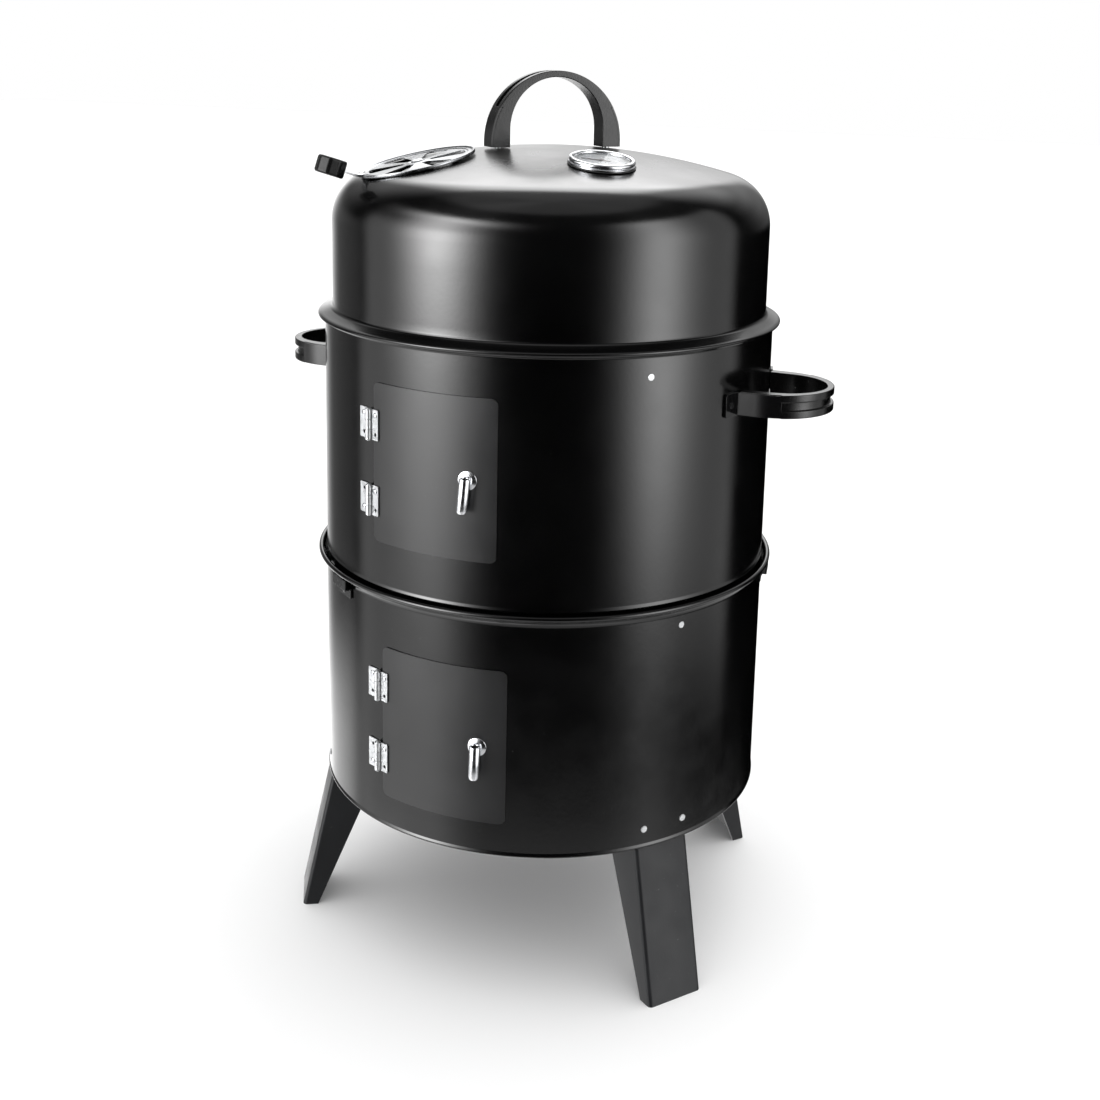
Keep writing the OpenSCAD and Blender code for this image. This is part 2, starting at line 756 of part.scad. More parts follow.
module lid_handle_frame() { lid_frame() translate([0, 0, handle_foot_z]) rotate([90, 0, 0]) children(); }
module handle_screw_hole(r) {
    for (s = [-1, 1]) translate([s * handle_foot_x, -20, 0]) rotate([-90, 0, 0])
        cylinder(h = 32, r = r, $fn = 48);
}

module lid_handle_grip() {
    color("#1b1b1b") lid_handle_frame() difference() {
        arch_grip(lid_half, lid_handle_h, lid_foot_t, foot_recess);
        handle_screw_hole(screw_r + run_gap);
    }
}

// Strap in the groove, with a flange turned in under the grip
module lid_handle_brackets() {
    x1 = lid_half - rebate_d + rest_gap;
    color("#202122") lid_handle_frame() difference() {
        for (m = [0, 1]) mirror([m, 0, 0]) {
            strap(lid_half, lid_handle_h, 0.1);
            translate([x1 - lid_flange_l, 0.1, -lid_flange_w / 2])
                cube([lid_flange_l + strap_t, strap_t, lid_flange_w]);
        }
        handle_screw_hole(screw_hole_r);
    }
}

// Screws up through the lid and the flanges into the grip's feet
module lid_handle_screws() {
    seat = dome_z(handle_foot_x + head_r) - sheet - 0.5 - handle_foot_z;
    color("#b9bbbd") lid_handle_frame() for (s = [-1, 1]) translate([s * handle_foot_x, seat, 0]) {
        rotate([90, 0, 0]) cylinder(h = 3, r = head_r, $fn = 48);
        translate([0, -0.5, 0]) rotate([-90, 0, 0]) cylinder(h = 14, r = screw_r, $fn = 48);
    }
}

// ---------- thermometer ----------

thermo_seat = 0.7;
gasket_r = thermo_r + 0.9;
module thermometer_gasket() {
    color("#0b0b0b") lid_frame() thermo_frame() translate([0, 0, 0.01]) difference() {
        cylinder(h = thermo_seat - 0.02, r = gasket_r, $fn = 96);
        translate([0, 0, -1]) cylinder(h = 3, r = boss_r + run_gap, $fn = 48);
    }
}
module thermometer_case() {
    color("#d6d8da") lid_frame() thermo_frame() translate([0, 0, thermo_seat]) difference() {
        cylinder(h = case_h, r = thermo_r, $fn = 128);
        translate([0, 0, 2]) cylinder(h = case_h, r = thermo_r - case_wall, $fn = 128);
        translate([0, 0, -1]) cylinder(h = 5, r = stem_r, $fn = 48);
    }
}
module thermometer_dial() {
    color("#b4b6b8") lid_frame() thermo_frame() translate([0, 0, thermo_seat + 2 + rest_gap]) difference() {
        cylinder(h = 0.8, r = dial_r, $fn = 96);
        translate([0, 0, -1]) cylinder(h = 3, r = 1, $fn = 32);
    }
}
module thermometer_needle() {
    color("#9c1d1a") lid_frame() thermo_frame() translate([0, 0, thermo_seat + 3.05]) rotate([0, 0, 60]) {
        cylinder(h = 0.9, r = 2.2, $fn = 48);
        translate([0, 0, -0.95]) cylinder(h = 1.15, r = 1 - run_gap, $fn = 32);
        linear_extrude(0.5) polygon([[-1.1, -7], [1.1, -7], [0.35, 19], [-0.35, 19]]);
    }
}
module thermometer_lens() {
    color("#dfe6ea", 0.35) lid_frame() thermo_frame() translate([0, 0, thermo_seat + 4.3])
        cylinder(h = 1, r = thermo_r - case_wall - 0.1, $fn = 96);
}
module thermometer_stem() {
    color("#c0c2c4") lid_frame() thermo_frame() {
        translate([0, 0, -stem_l]) cylinder(h = stem_l + thermo_seat + 1.9, r = stem_r - 0.02, $fn = 48);
        translate([0, 0, -12]) cylinder(h = 12 + thermo_seat - 0.05, r = boss_r, $fn = 48);
    }
}
module thermometer_nut() {
    color("#b9bbbd") lid_frame() thermo_frame() translate([0, 0, -6.2]) difference() {
        cylinder(h = 4.6, r = thermo_nut_r, $fn = 6);
        translate([0, 0, -1]) cylinder(h = 8, r = boss_r + run_gap, $fn = 48);
    }
}

// ---------- damper ----------

module damper_rivet() {
    color("#c9cbcd") lid_frame() damper_frame() {
        translate([0, 0, -2.5]) cylinder(h = 1.5, r = 5, $fn = 48);
        translate([0, 0, -1.2]) cylinder(h = 3.4, r = hub_rivet_r - run_gap, $fn = 48);
        translate([0, 0, 1.8]) cylinder(h = 1.6, r1 = 5.5, r2 = 3.5, $fn = 48);
    }
}

// Strip that rises from the disc's rim to the knob, grown all round by a margin
module damper_arm(grow) {
    end_y = -knob_at + 2 - grow;
    end_z = knob_up - 1.9;
    swept_x(tab_w + 2 * grow) polygon([
        [-damper_r + 2, damper_t - grow], [-damper_r - 3, damper_t - grow], [end_y, end_z - grow],
        [end_y, end_z + 1.4 + grow], [-damper_r - 2.4, damper_t + 1.4 + grow],
        [-damper_r + 2, damper_t + 1.4 + grow]
    ]);
}

// Spoked disc with a raised rim
module damper_disc() {
    color("#d0d2d4") lid_frame() damper_frame() translate([0, 0, lift_gap]) {
        difference() {
            union() {
                cylinder(h = damper_t, r = damper_r, $fn = 180);
                difference() {
                    cylinder(h = damper_rim_h, r = damper_r, $fn = 180);
                    cylinder(h = 2 * damper_rim_h, r = damper_r - damper_rim_w, $fn = 180);
                }
            }
            slots(14);
            translate([0, 0, -1]) cylinder(h = 4, r = hub_rivet_r + run_gap, $fn = 48);
        }
        damper_arm(0);
    }
}
module damper_knob() {
    color("#141414") lid_frame() damper_frame() difference() {
        translate([0, -knob_at, knob_up]) rotate([-lever_rise, 0, 0]) rotate([0, 0, 22.5])
            translate([0, 0, -knob_h / 2]) cylinder(h = knob_h, r = knob_r, $fn = 8);
        translate([0, 0, lift_gap]) damper_arm(rest_gap);
    }
}

// ---------- grates and pans ----------

// Round wire grate with its underside at z
module grate(r, z, pitch) {
    mid_r = r - ring_wire;
    last = floor(mid_r / pitch);
    translate([0, 0, z + ring_wire]) {
        rotate_extrude($fn = 120) translate([mid_r, 0]) circle(r = ring_wire, $fn = 32);
        for (i = [-last:last]) let (x = i * pitch, l = sqrt(mid_r * mid_r - x * x))
            translate([x, -l, ring_wire - bar_wire - 0.1])
                rotate([-90, 0, 0]) cylinder(h = 2 * l, r = bar_wire, $fn = 24);
        for (y = [-mid_r / 2, mid_r / 2]) let (l = sqrt(mid_r * mid_r - y * y))
            translate([-l, y, cross_wire - ring_wire + 0.1])
                rotate([0, 90, 0]) cylinder(h = 2 * l, r = cross_wire, $fn = 24);
    }
}

module top_grate() {
    color("#b9bbbd") grate(grate_r, upper_ledge_z + rest_gap, bar_pitch);
}
pan_rim_z = lower_ledge_z + rest_gap;
module middle_grate() {
    color("#b9bbbd") grate(grate_r, pan_rim_z + pan_t + rest_gap, bar_pitch);
}

// Bowl that hangs by its flat rim
module water_pan() {
    top = pan_rim_z + pan_t;
    floor_z = top - pan_depth;
    color("#17181a") rotate_extrude($fn = 180) polygon([
        [0, floor_z], [pan_floor_r, floor_z], [pan_floor_r + 6, floor_z + 6], [pan_bowl_r, top - pan_t],
        [pan_rim_r, top - pan_t], [pan_rim_r, top], [pan_bowl_r - pan_t, top],
        [pan_floor_r + 6 - pan_t, floor_z + 6.4], [pan_floor_r - 0.4, floor_z + pan_t], [0, floor_z + pan_t]
    ]);
}

coal_pan_z = z_bottom + flange_up + rest_gap;
module charcoal_pan() {
    rim_z = coal_pan_z + coal_pan_h;
    color("#17181a") rotate_extrude($fn = 180) {
        polygon([
            [0, coal_pan_z], [coal_floor_r, coal_pan_z], [coal_rim_r, rim_z],
            [coal_rim_r - pan_t, rim_z], [coal_floor_r - 0.7, coal_pan_z + pan_t], [0, coal_pan_z + pan_t]
        ]);
        translate([coal_rim_r + 0.5, rim_z]) circle(r = 1.8, $fn = 32);
    }
}
module charcoal_grate() {
    color("#8d8f91") grate(coal_ring_r, coal_pan_z + coal_grate_up, bar_pitch);
}

lower_barrel();
rim_clips();
lower_support_brackets();
lower_bracket_screws();
lower_bracket_nuts();
leg_front_left();
leg_front_right();
leg_rear_left();
leg_rear_right();
leg_screws();
leg_nuts();
lower_hinge_fixed_leaves();
lower_hinge_pins();
lower_hinge_rivets();
lower_door();
lower_hinge_door_leaves();
lower_door_rivets();
lower_latch_rosette();
lower_latch_lever();
lower_latch_tongue();
lower_latch_nut();
upper_barrel();
upper_support_brackets();
upper_bracket_screws();
upper_barrel_nuts();
right_handle_grip();
left_handle_grip();
side_handle_brackets();
side_handle_screws();
upper_hinge_fixed_leaves();
upper_hinge_pins();
upper_hinge_rivets();
upper_door();
upper_hinge_door_leaves();
upper_door_rivets();
upper_latch_rosette();
upper_latch_lever();
upper_latch_tongue();
upper_latch_nut();
lid_shell();
lid_handle_grip();
lid_handle_brackets();
lid_handle_screws();
thermometer_gasket();
thermometer_case();
thermometer_dial();
thermometer_lens();
thermometer_stem();
thermometer_nut();
thermometer_needle();
damper_rivet();
damper_disc();
damper_knob();
top_grate();
middle_grate();
water_pan();
charcoal_pan();
charcoal_grate();
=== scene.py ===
import json
import math

import bmesh
import bpy
from mathutils import Matrix, Vector


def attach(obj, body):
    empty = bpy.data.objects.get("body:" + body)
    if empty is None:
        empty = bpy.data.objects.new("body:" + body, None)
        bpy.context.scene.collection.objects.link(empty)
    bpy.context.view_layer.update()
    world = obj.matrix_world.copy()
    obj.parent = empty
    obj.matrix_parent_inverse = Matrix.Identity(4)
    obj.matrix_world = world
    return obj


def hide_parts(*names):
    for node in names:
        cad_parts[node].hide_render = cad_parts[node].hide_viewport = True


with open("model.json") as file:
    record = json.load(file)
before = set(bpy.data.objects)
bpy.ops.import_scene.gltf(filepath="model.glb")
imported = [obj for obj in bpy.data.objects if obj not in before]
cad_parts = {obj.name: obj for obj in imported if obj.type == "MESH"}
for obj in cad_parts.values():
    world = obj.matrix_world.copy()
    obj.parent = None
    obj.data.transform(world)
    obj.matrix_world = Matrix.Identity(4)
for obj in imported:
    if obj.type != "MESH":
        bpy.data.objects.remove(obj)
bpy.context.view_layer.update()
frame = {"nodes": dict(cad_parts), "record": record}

MM = 0.001
rad = math.radians

# ---------------------------------------------------------------- sizes, in millimetres
BARREL_R = 200.0
SHEET = 0.8
Z_BOTTOM = 134.0
Z_COLLAR = 346.0
Z_LID = 562.0
UPPER_TURN = -3.0
LID_TURN = 48.0
LID_R = 193.4
SKIRT_H = 81.5
SHOULDER_R = 45.0
DOME_R = 590.0
LOWER_DOOR_Z = 163.0
UPPER_DOOR_Z = 389.0
DOOR_H = 135.0
DOOR_HALF = 17.0
DOOR_IN = 200.3
HINGE_R = 203.2
HINGE_AZ = 18.15
HINGE_H = 26.0
HINGE_UPS = (21.5, DOOR_H - 23.0 - HINGE_H)
RIVET_LOW, RIVET_HIGH = 5.0, HINGE_H - 5.0
LATCH_AZ = 10.0
LATCH_UP = 67.0
LEAF_T = 1.0
LEVER_STANDOFF = 4.9
ROSETTE_T = 1.6
LEG_AZS = (-57, 57, -143, 143)
LEG_FACE_R = 197.0
LEG_SPLAY = 29.0
LID_GRIP = (61.3, 66.0, 17.3)  # half width, height and foot thickness
SIDE_GRIP = (52.0, 65.4, 12.0)
STRAP_UP = 34.0
CAMERA_AZ = 25.0  # degrees; its distance and height below are in metres
CAMERA_AWAY = 1.34427
CAMERA_UP = 0.79171
FLOOR_HALF = 14.0
SKY_LOW = 0.02
SKY_HIGH = 1.75


# ---------------------------------------------------------------- mesh helpers
def rot_z(a):
    return Matrix.Rotation(rad(a), 4, "Z")


def move(x, y, z):
    return Matrix.Translation((x, y, z))


AXIS_OUT = Matrix.Rotation(rad(90), 4, "X")  # local +Z becomes -Y, which is outwards
UPPER = rot_z(UPPER_TURN)
LID = move(0, 0, Z_LID) @ rot_z(LID_TURN)
ONE = Matrix.Identity(4)


def arc(cx, cy, r, a0, a1, n):
    return [
        (cx + r * math.cos(rad(a0 + (a1 - a0) * i / n)), cy + r * math.sin(rad(a0 + (a1 - a0) * i / n)))
        for i in range(n + 1)
    ]


def lathe(profile, n=96, a0=0.0, a1=360.0):
    """A closed (radius, height) profile turned about the Z axis."""
    whole = abs(a1 - a0) >= 360
    turns = n if whole else n + 1
    verts, faces, k = [], [], len(profile)
    for i in range(turns):
        a = rad(a0 + (a1 - a0) * i / n)
        verts += [(r * math.cos(a), r * math.sin(a), z) for r, z in profile]
    for i in range(n):
        p, q = i * k, ((i + 1) % turns) * k
        faces += [(p + j, q + j, q + (j + 1) % k, p + (j + 1) % k) for j in range(k)]
    if not whole:
        faces += [tuple(range(k)), tuple(range((turns - 1) * k, turns * k))]
    return verts, faces


def loft(rings, closed=False):
    """Rings of the same count of points, joined in order, with end caps unless the loft closes on itself."""
    k = len(rings[0])
    verts = [v for ring in rings for v in ring]
    faces = []
    for i in range(len(rings) - (0 if closed else 1)):
        p, q = i * k, ((i + 1) % len(rings)) * k
        faces += [(p + j, p + (j + 1) % k, q + (j + 1) % k, q + j) for j in range(k)]
    if not closed:
        faces += [tuple(range(k)), tuple(range((len(rings) - 1) * k, len(rings) * k))]
    return verts, faces


def prism(outline, z0, z1):
    return loft([[(x, y, z0) for x, y in outline], [(x, y, z1) for x, y in outline]])


def rounded(x0, y0, x1, y1, r, n=5):
    return (
        arc(x1 - r, y1 - r, r, 0, 90, n)
        + arc(x0 + r, y1 - r, r, 90, 180, n)
        + arc(x0 + r, y0 + r, r, 180, 270, n)
        + arc(x1 - r, y0 + r, r, 270, 360, n)
    )


def bar(r, z0, z1, c=0.25, n=40):
    """A round bar along Z with small chamfers."""
    return lathe([(0, z0), (r - c, z0), (r, z0 + c), (r, z1 - c), (r - c, z1), (0, z1)], n)


def tube(r, bore, z0, z1, c=0.2, n=40):
    return lathe(
        [(bore, z0), (r - c, z0), (r, z0 + c), (r, z1 - c), (r - c, z1), (bore, z1)], n
    )


def build(name, parts, material, body, replaces=(), sharp=32, bevel=0.0, segments=2):
    """One piece from (matrix, (verts, faces)) parts given in millimetres."""
    bm = bmesh.new()
    for matrix, (verts, faces) in parts:
        made = [bm.verts.new((matrix @ Vector(v)) * MM) for v in verts]
        for f in faces:
            try:
                bm.faces.new([made[i] for i in f])
            except ValueError:
                pass
    bmesh.ops.remove_doubles(bm, verts=bm.verts, dist=2e-6)
    bmesh.ops.dissolve_degenerate(bm, edges=bm.edges, dist=1e-6)
    bmesh.ops.recalc_face_normals(bm, faces=bm.faces)
    mesh = bpy.data.meshes.new(name)
    bm.to_mesh(mesh)
    bm.free()
    piece = bpy.data.objects.new(name, mesh)
    bpy.context.scene.collection.objects.link(piece)
    finish_shading(piece, sharp)
    if bevel:
        m = piece.modifiers.new("edges", "BEVEL")
        m.width = bevel * MM
        m.segments = segments
        m.limit_method = "ANGLE"
        m.angle_limit = rad(32)
        m.harden_normals = True
    if material:
        mesh.materials.append(material)
    if body:
        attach(piece, body)
    for node in replaces:
        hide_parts(node)
    return piece


def finish_shading(piece, sharp):
    mesh = piece.data
    mesh.polygons.foreach_set("use_smooth", [True] * len(mesh.polygons))
    mesh.set_sharp_from_angle(angle=rad(sharp))


def carve(piece, parts, sharp=32, operation="DIFFERENCE"):
    """Cuts closed (matrix, (verts, faces)) parts out of a piece, exactly."""
    cutter = build(piece.name + "_cutter", parts, None, None)
    m = piece.modifiers.new("cut", "BOOLEAN")
    m.operation = operation
    m.solver = "EXACT"
    m.object = cutter
    piece.modifiers.move(len(piece.modifiers) - 1, 0)
    kept = [(x.width, x.segments, x.angle_limit) for x in piece.modifiers if x.type == "BEVEL"]
    for x in [x for x in piece.modifiers if x.type == "BEVEL"]:
        piece.modifiers.remove(x)
    dg = bpy.context.evaluated_depsgraph_get()
    done = bpy.data.meshes.new_from_object(piece.evaluated_get(dg))
    old = piece.data
    piece.modifiers.clear()
    piece.data = done
    bpy.data.meshes.remove(old)
    bpy.data.objects.remove(cutter)
    for width, segments, angle in kept:
        b = piece.modifiers.new("edges", "BEVEL")
        b.width, b.segments, b.limit_method, b.angle_limit = width, segments, "ANGLE", angle
        b.harden_normals = True
    finish_shading(piece, sharp)


# ---------------------------------------------------------------- materials
def nodes_of(m):
    m.use_nodes = True
    tree = m.node_tree
    tree.nodes.clear()
    return tree


def material(
    name, dark, light, rough, metal=0.0, rough_by=0.06, blotch=14.0, grain=0.0, grain_scale=900.0,
    wave=0.0, wave_scale=9.0, wear=None, wear_scale=60.0, wear_from=0.62, coat=0.0, specular=0.5,
    dull_above=None,
):
    """A procedural finish: blotches of two close colours, uneven roughness, grain and waves in the surface,
    and worn or dusty spots of a third colour."""
    m = bpy.data.materials.new(name)
    t = nodes_of(m)
    new, link = t.nodes.new, t.links.new
    out, shader = new("ShaderNodeOutputMaterial"), new("ShaderNodeBsdfPrincipled")
    link(shader.outputs[0], out.inputs[0])
    place = new("ShaderNodeTexCoord")

    def noise(scale, detail=4.0):
        n = new("ShaderNodeTexNoise")
        n.inputs["Scale"].default_value = scale
        n.inputs["Detail"].default_value = detail
        link(place.outputs["Object"], n.inputs["Vector"])
        return n.outputs["Fac"]

    def spread(value, low, high, to_low, to_high):
        r = new("ShaderNodeMapRange")
        r.inputs["From Min"].default_value = low
        r.inputs["From Max"].default_value = high
        r.inputs["To Min"].default_value = to_low
        r.inputs["To Max"].default_value = to_high
        link(value, r.inputs["Value"])
        return r.outputs["Result"]

    def mix(fac, a, b):
        x = new("ShaderNodeMix")
        x.data_type = "RGBA"
        link(fac, x.inputs["Factor"])
        for value, socket in ((a, x.inputs["A"]), (b, x.inputs["B"])):
            if isinstance(value, tuple):
                socket.default_value = (*value, 1.0)
            else:
                link(value, socket)
        return x.outputs["Result"]

    blotches = noise(blotch)
    colour = mix(spread(blotches, 0.35, 0.65, 0, 1), dark, light)
    roughness = spread(noise(blotch * 2.7), 0.3, 0.7, max(0.02, rough - rough_by), rough + rough_by)
    if wear:
        spots = spread(noise(wear_scale, 8.0), wear_from, wear_from + 0.1, 0, 1)
        colour = mix(spots, colour, wear)
        add = new("ShaderNodeMath")
        add.operation = "MULTIPLY_ADD"
        link(spots, add.inputs[0])
        add.inputs[1].default_value = 0.18
        link(roughness, add.inputs[2])
        roughness = add.outputs[0]
    if dull_above:
        height = new("ShaderNodeSeparateXYZ")
        link(place.outputs["Object"], height.inputs[0])
        add = new("ShaderNodeMath")
        add.operation = "ADD"
        link(roughness, add.inputs[0])
        link(spread(height.outputs["Z"], dull_above, dull_above + 0.02, 0.0, 0.14), add.inputs[1])
        roughness = add.outputs[0]
    link(colour, shader.inputs["Base Color"])
    link(roughness, shader.inputs["Roughness"])
    shader.inputs["Metallic"].default_value = metal
    shader.inputs["Coat Weight"].default_value = coat
    shader.inputs["Coat Roughness"].default_value = 0.06
    shader.inputs["Specular IOR Level"].default_value = specular
    normal = None
    for strength, scale, detail, distance in (
        (wave, wave_scale, 1.0, 0.004),
        (grain, grain_scale, 3.0, 0.0002),
    ):
        if strength:
            b = new("ShaderNodeBump")
            b.inputs["Strength"].default_value = strength
            b.inputs["Distance"].default_value = distance
            link(noise(scale, detail), b.inputs["Height"])
            if normal:
                link(normal, b.inputs["Normal"])
            normal = b.outputs["Normal"]
    if normal:
        link(normal, shader.inputs["Normal"])
    return m


ENAMEL = material(
    "gloss_enamel", (0.0010, 0.0010, 0.0011), (0.0018, 0.0018, 0.0019), 0.155, rough_by=0.025, wave=0.022,
    grain=0.10, grain_scale=330.0, wear=(0.02, 0.02, 0.02), wear_scale=420.0, wear_from=0.70, coat=0.0,
)
LID_ENAMEL = material(
    "lid_enamel", (0.0010, 0.0010, 0.0011), (0.0018, 0.0018, 0.0019), 0.155, rough_by=0.025, wave=0.022,
    grain=0.10, grain_scale=330.0, wear=(0.02, 0.02, 0.02), wear_scale=420.0,
    wear_from=0.70, dull_above=0.682,
)
DOOR = material(
    "door_enamel", (0.0045, 0.0045, 0.0048), (0.0065, 0.0065, 0.007), 0.31, rough_by=0.03, wave=0.03,
    grain=0.14, grain_scale=330.0, wear=(0.03, 0.03, 0.03), wear_scale=420.0, wear_from=0.69,
)
SATIN = material(
    "satin_enamel", (0.004, 0.004, 0.0043), (0.007, 0.007, 0.0075), 0.3, grain=0.2, grain_scale=600.0,
    wear=(0.05, 0.05, 0.05), wear_scale=260.0, wear_from=0.68,
)
LEG_PAINT = material(
    "leg_enamel", (0.011, 0.0115, 0.0125), (0.016, 0.0165, 0.018), 0.38, rough_by=0.05, grain=0.3,
    grain_scale=700.0, wear=(0.07, 0.07, 0.07), wear_scale=300.0, wear_from=0.69, specular=0.2,
)
STRAP = material(
    "strap_enamel", (0.0025, 0.0025, 0.0027), (0.004, 0.004, 0.0043), 0.15, grain=0.12, grain_scale=600.0,
    wear=(0.04, 0.04, 0.04), wear_scale=300.0, wear_from=0.7, specular=0.4,
)
PLASTIC = material(
    "grip_plastic", (0.002, 0.002, 0.002), (0.004, 0.004, 0.004), 0.2, rough_by=0.05, blotch=60.0,
    grain=0.35,
    grain_scale=850.0, wear=(0.05, 0.05, 0.05), wear_scale=380.0, wear_from=0.68, specular=0.38,
)
KNOB = material(
    "knob_plastic", (0.004, 0.004, 0.004), (0.008, 0.008, 0.008), 0.24, blotch=60.0, grain=0.25,
    grain_scale=900.0, specular=0.2,
)
ZINC = material(
    "zinc_plate", (0.52, 0.53, 0.54), (0.66, 0.67, 0.68), 0.34, metal=1.0, rough_by=0.1, blotch=160.0,
    grain=0.25, grain_scale=1100.0, wear=(0.40, 0.40, 0.38), wear_scale=500.0, wear_from=0.64,
)
BRIGHT = material(
    "bright_steel", (0.50, 0.51, 0.53), (0.62, 0.63, 0.65), 0.2, metal=1.0, rough_by=0.08, blotch=220.0,
    grain=0.15, grain_scale=1300.0, wear=(0.55, 0.55, 0.54), wear_scale=700.0, wear_from=0.66,
)
SCREW = material(
    "screw_steel", (0.56, 0.57, 0.58), (0.68, 0.69, 0.70), 0.32, metal=0.45, rough_by=0.08, blotch=220.0,
    grain=0.15, grain_scale=1300.0, wear=(0.35, 0.35, 0.34), wear_scale=700.0, wear_from=0.66,
)
CHROME = material(
    "chrome_plate", (0.83, 0.84, 0.86), (0.90, 0.91, 0.92), 0.07, metal=1.0, rough_by=0.03, blotch=90.0,
    grain=0.06, grain_scale=500.0, wear=(0.7, 0.7, 0.69), wear_scale=500.0, wear_from=0.70,
)
SATIN_CHROME = material(
    "satin_chrome", (0.62, 0.63, 0.65), (0.72, 0.73, 0.75), 0.2, metal=1.0, rough_by=0.04, blotch=110.0,
    grain=0.08, grain_scale=700.0, wear=(0.5, 0.5, 0.49), wear_scale=500.0, wear_from=0.70,
)
DAMPER_STEEL = material(
    "damper_steel", (0.22, 0.225, 0.235), (0.30, 0.305, 0.315), 0.26, metal=1.0, rough_by=0.06, blotch=70.0,
    grain=0.1, grain_scale=700.0, wear=(0.16, 0.155, 0.15), wear_scale=260.0, wear_from=0.66,
)
WIRE = material(
    "plated_wire", (0.60, 0.60, 0.61), (0.74, 0.74, 0.75), 0.22, metal=1.0, rough_by=0.07, blotch=90.0,
    grain=0.15, grain_scale=900.0, wear=(0.34, 0.31, 0.27), wear_scale=120.0, wear_from=0.66,
)
PAN = material(
    "pan_enamel", (0.010, 0.010, 0.012), (0.016, 0.016, 0.020), 0.16, blotch=30.0, wave=0.02, grain=0.2,
    grain_scale=400.0, wear=(0.25, 0.26, 0.28), wear_scale=900.0, wear_from=0.70,
)
DIAL = material(
    "dial_paint", (0.22, 0.23, 0.24), (0.28, 0.29, 0.30), 0.42, metal=0.3, blotch=120.0, grain=0.12,
    grain_scale=1200.0,
)
NEEDLE = material("needle_paint", (0.02, 0.012, 0.012), (0.04, 0.02, 0.02), 0.35, blotch=200.0, grain=0.1)
MARKS = material("dial_marks", (0.02, 0.02, 0.02), (0.03, 0.03, 0.03), 0.5, blotch=200.0, grain=0.1)
RUBBER = material(
    "gasket_rubber", (0.008, 0.008, 0.008), (0.014, 0.014, 0.014), 0.6, blotch=120.0, grain=0.5,
    grain_scale=700.0,
)


def glass_material():
    m = bpy.data.materials.new("lens_glass")
    t = nodes_of(m)
    out, shader = t.nodes.new("ShaderNodeOutputMaterial"), t.nodes.new("ShaderNodeBsdfPrincipled")
    t.links.new(shader.outputs[0], out.inputs[0])
    shader.inputs["Base Color"].default_value = (0.95, 0.97, 0.98, 1)
    shader.inputs["Transmission Weight"].default_value = 1.0
    shader.inputs["IOR"].default_value = 1.45
    shader.inputs["Specular IOR Level"].default_value = 0.12
    shader.inputs["Alpha"].default_value = 0.1
    place, smudge = t.nodes.new("ShaderNodeTexCoord"), t.nodes.new("ShaderNodeTexNoise")
    smudge.inputs["Scale"].default_value = 90.0
    t.links.new(place.outputs["Object"], smudge.inputs["Vector"])
    r = t.nodes.new("ShaderNodeMapRange")
    r.inputs["To Min"].default_value, r.inputs["To Max"].default_value = 0.0, 0.06
    t.links.new(smudge.outputs["Fac"], r.inputs["Value"])
    t.links.new(r.outputs["Result"], shader.inputs["Roughness"])
    return m


GLASS = glass_material()

SLOT_LOOK = {
    "barrel_enamel": ENAMEL, "bracket_enamel": SATIN, "leg_enamel": LEG_PAINT, "zinc_steel": ZINC,
    "bright_screws": BRIGHT, "hinge_steel": ZINC, "chrome_plate": CHROME, "grip_plastic": PLASTIC,
    "gasket_rubber": RUBBER, "dial_face": DIAL, "needle_paint": NEEDLE, "lens_glass": GLASS,
    "stem_steel": BRIGHT, "grate_wire": WIRE, "pan_enamel": PAN,
}
for entry in frame["record"]["subparts"]:
    node = frame["nodes"][entry["node"]]
    node.data.materials.clear()
    node.data.materials.append(SLOT_LOOK[entry["material_slot"]])


# ---------------------------------------------------------------- barrels
def door_cutter(matrix, z0):
    half = BARREL_R * math.sin(rad(DOOR_HALF)) - 8
    shape = prism(rounded(-half, z0 + 8, half, z0 + DOOR_H - 8, 7), -30, 30)
    return (matrix @ move(0, -BARREL_R, 0) @ AXIS_OUT, shape)


def bead_wall(wall_in, wall_out, z_low, flare_z, bead_r, bead_z, bead):
    """Section of a wall that flares into a rolled bead at its top."""
    flare = [
        (wall_out + (bead_r - wall_out) * t * t, flare_z + (bead_z - bead - flare_z) * t)
        for t in (0.0, 0.2, 0.4, 0.6, 0.8)
    ]
    inside = [(r - SHEET, z + 0.4) for r, z in reversed(flare)] + [(wall_in, flare_z - 1)]
    wall = [(wall_in, z_low), (wall_out, z_low), (wall_out, z_low + 1), (wall_out, flare_z - 1)]
    return [*wall, *flare, *arc(bead_r, bead_z, bead, -75, 195, 22), *inside]


hem = arc(BARREL_R - 0.2, Z_BOTTOM + 1.0, 0.95, -180, 0, 8)
lower_section = bead_wall(199.2, 200.0, Z_BOTTOM + 3, Z_COLLAR - 9, 205.4, Z_COLLAR, 2.2)
hem_line = [(199.2, Z_BOTTOM + 1.4), *hem[1:], (200.75, Z_BOTTOM + 2.0), (200.0, Z_BOTTOM + 3.4)]
lower_section = hem_line + lower_section[2:]
lower_barrel = build(
    "lower_barrel_shell", [(ONE, lathe(lower_section, 288))], ENAMEL, "base",
    ["lower_barrel"], sharp=50,
)
carve(lower_barrel, [door_cutter(ONE, LOWER_DOOR_Z)], sharp=50)

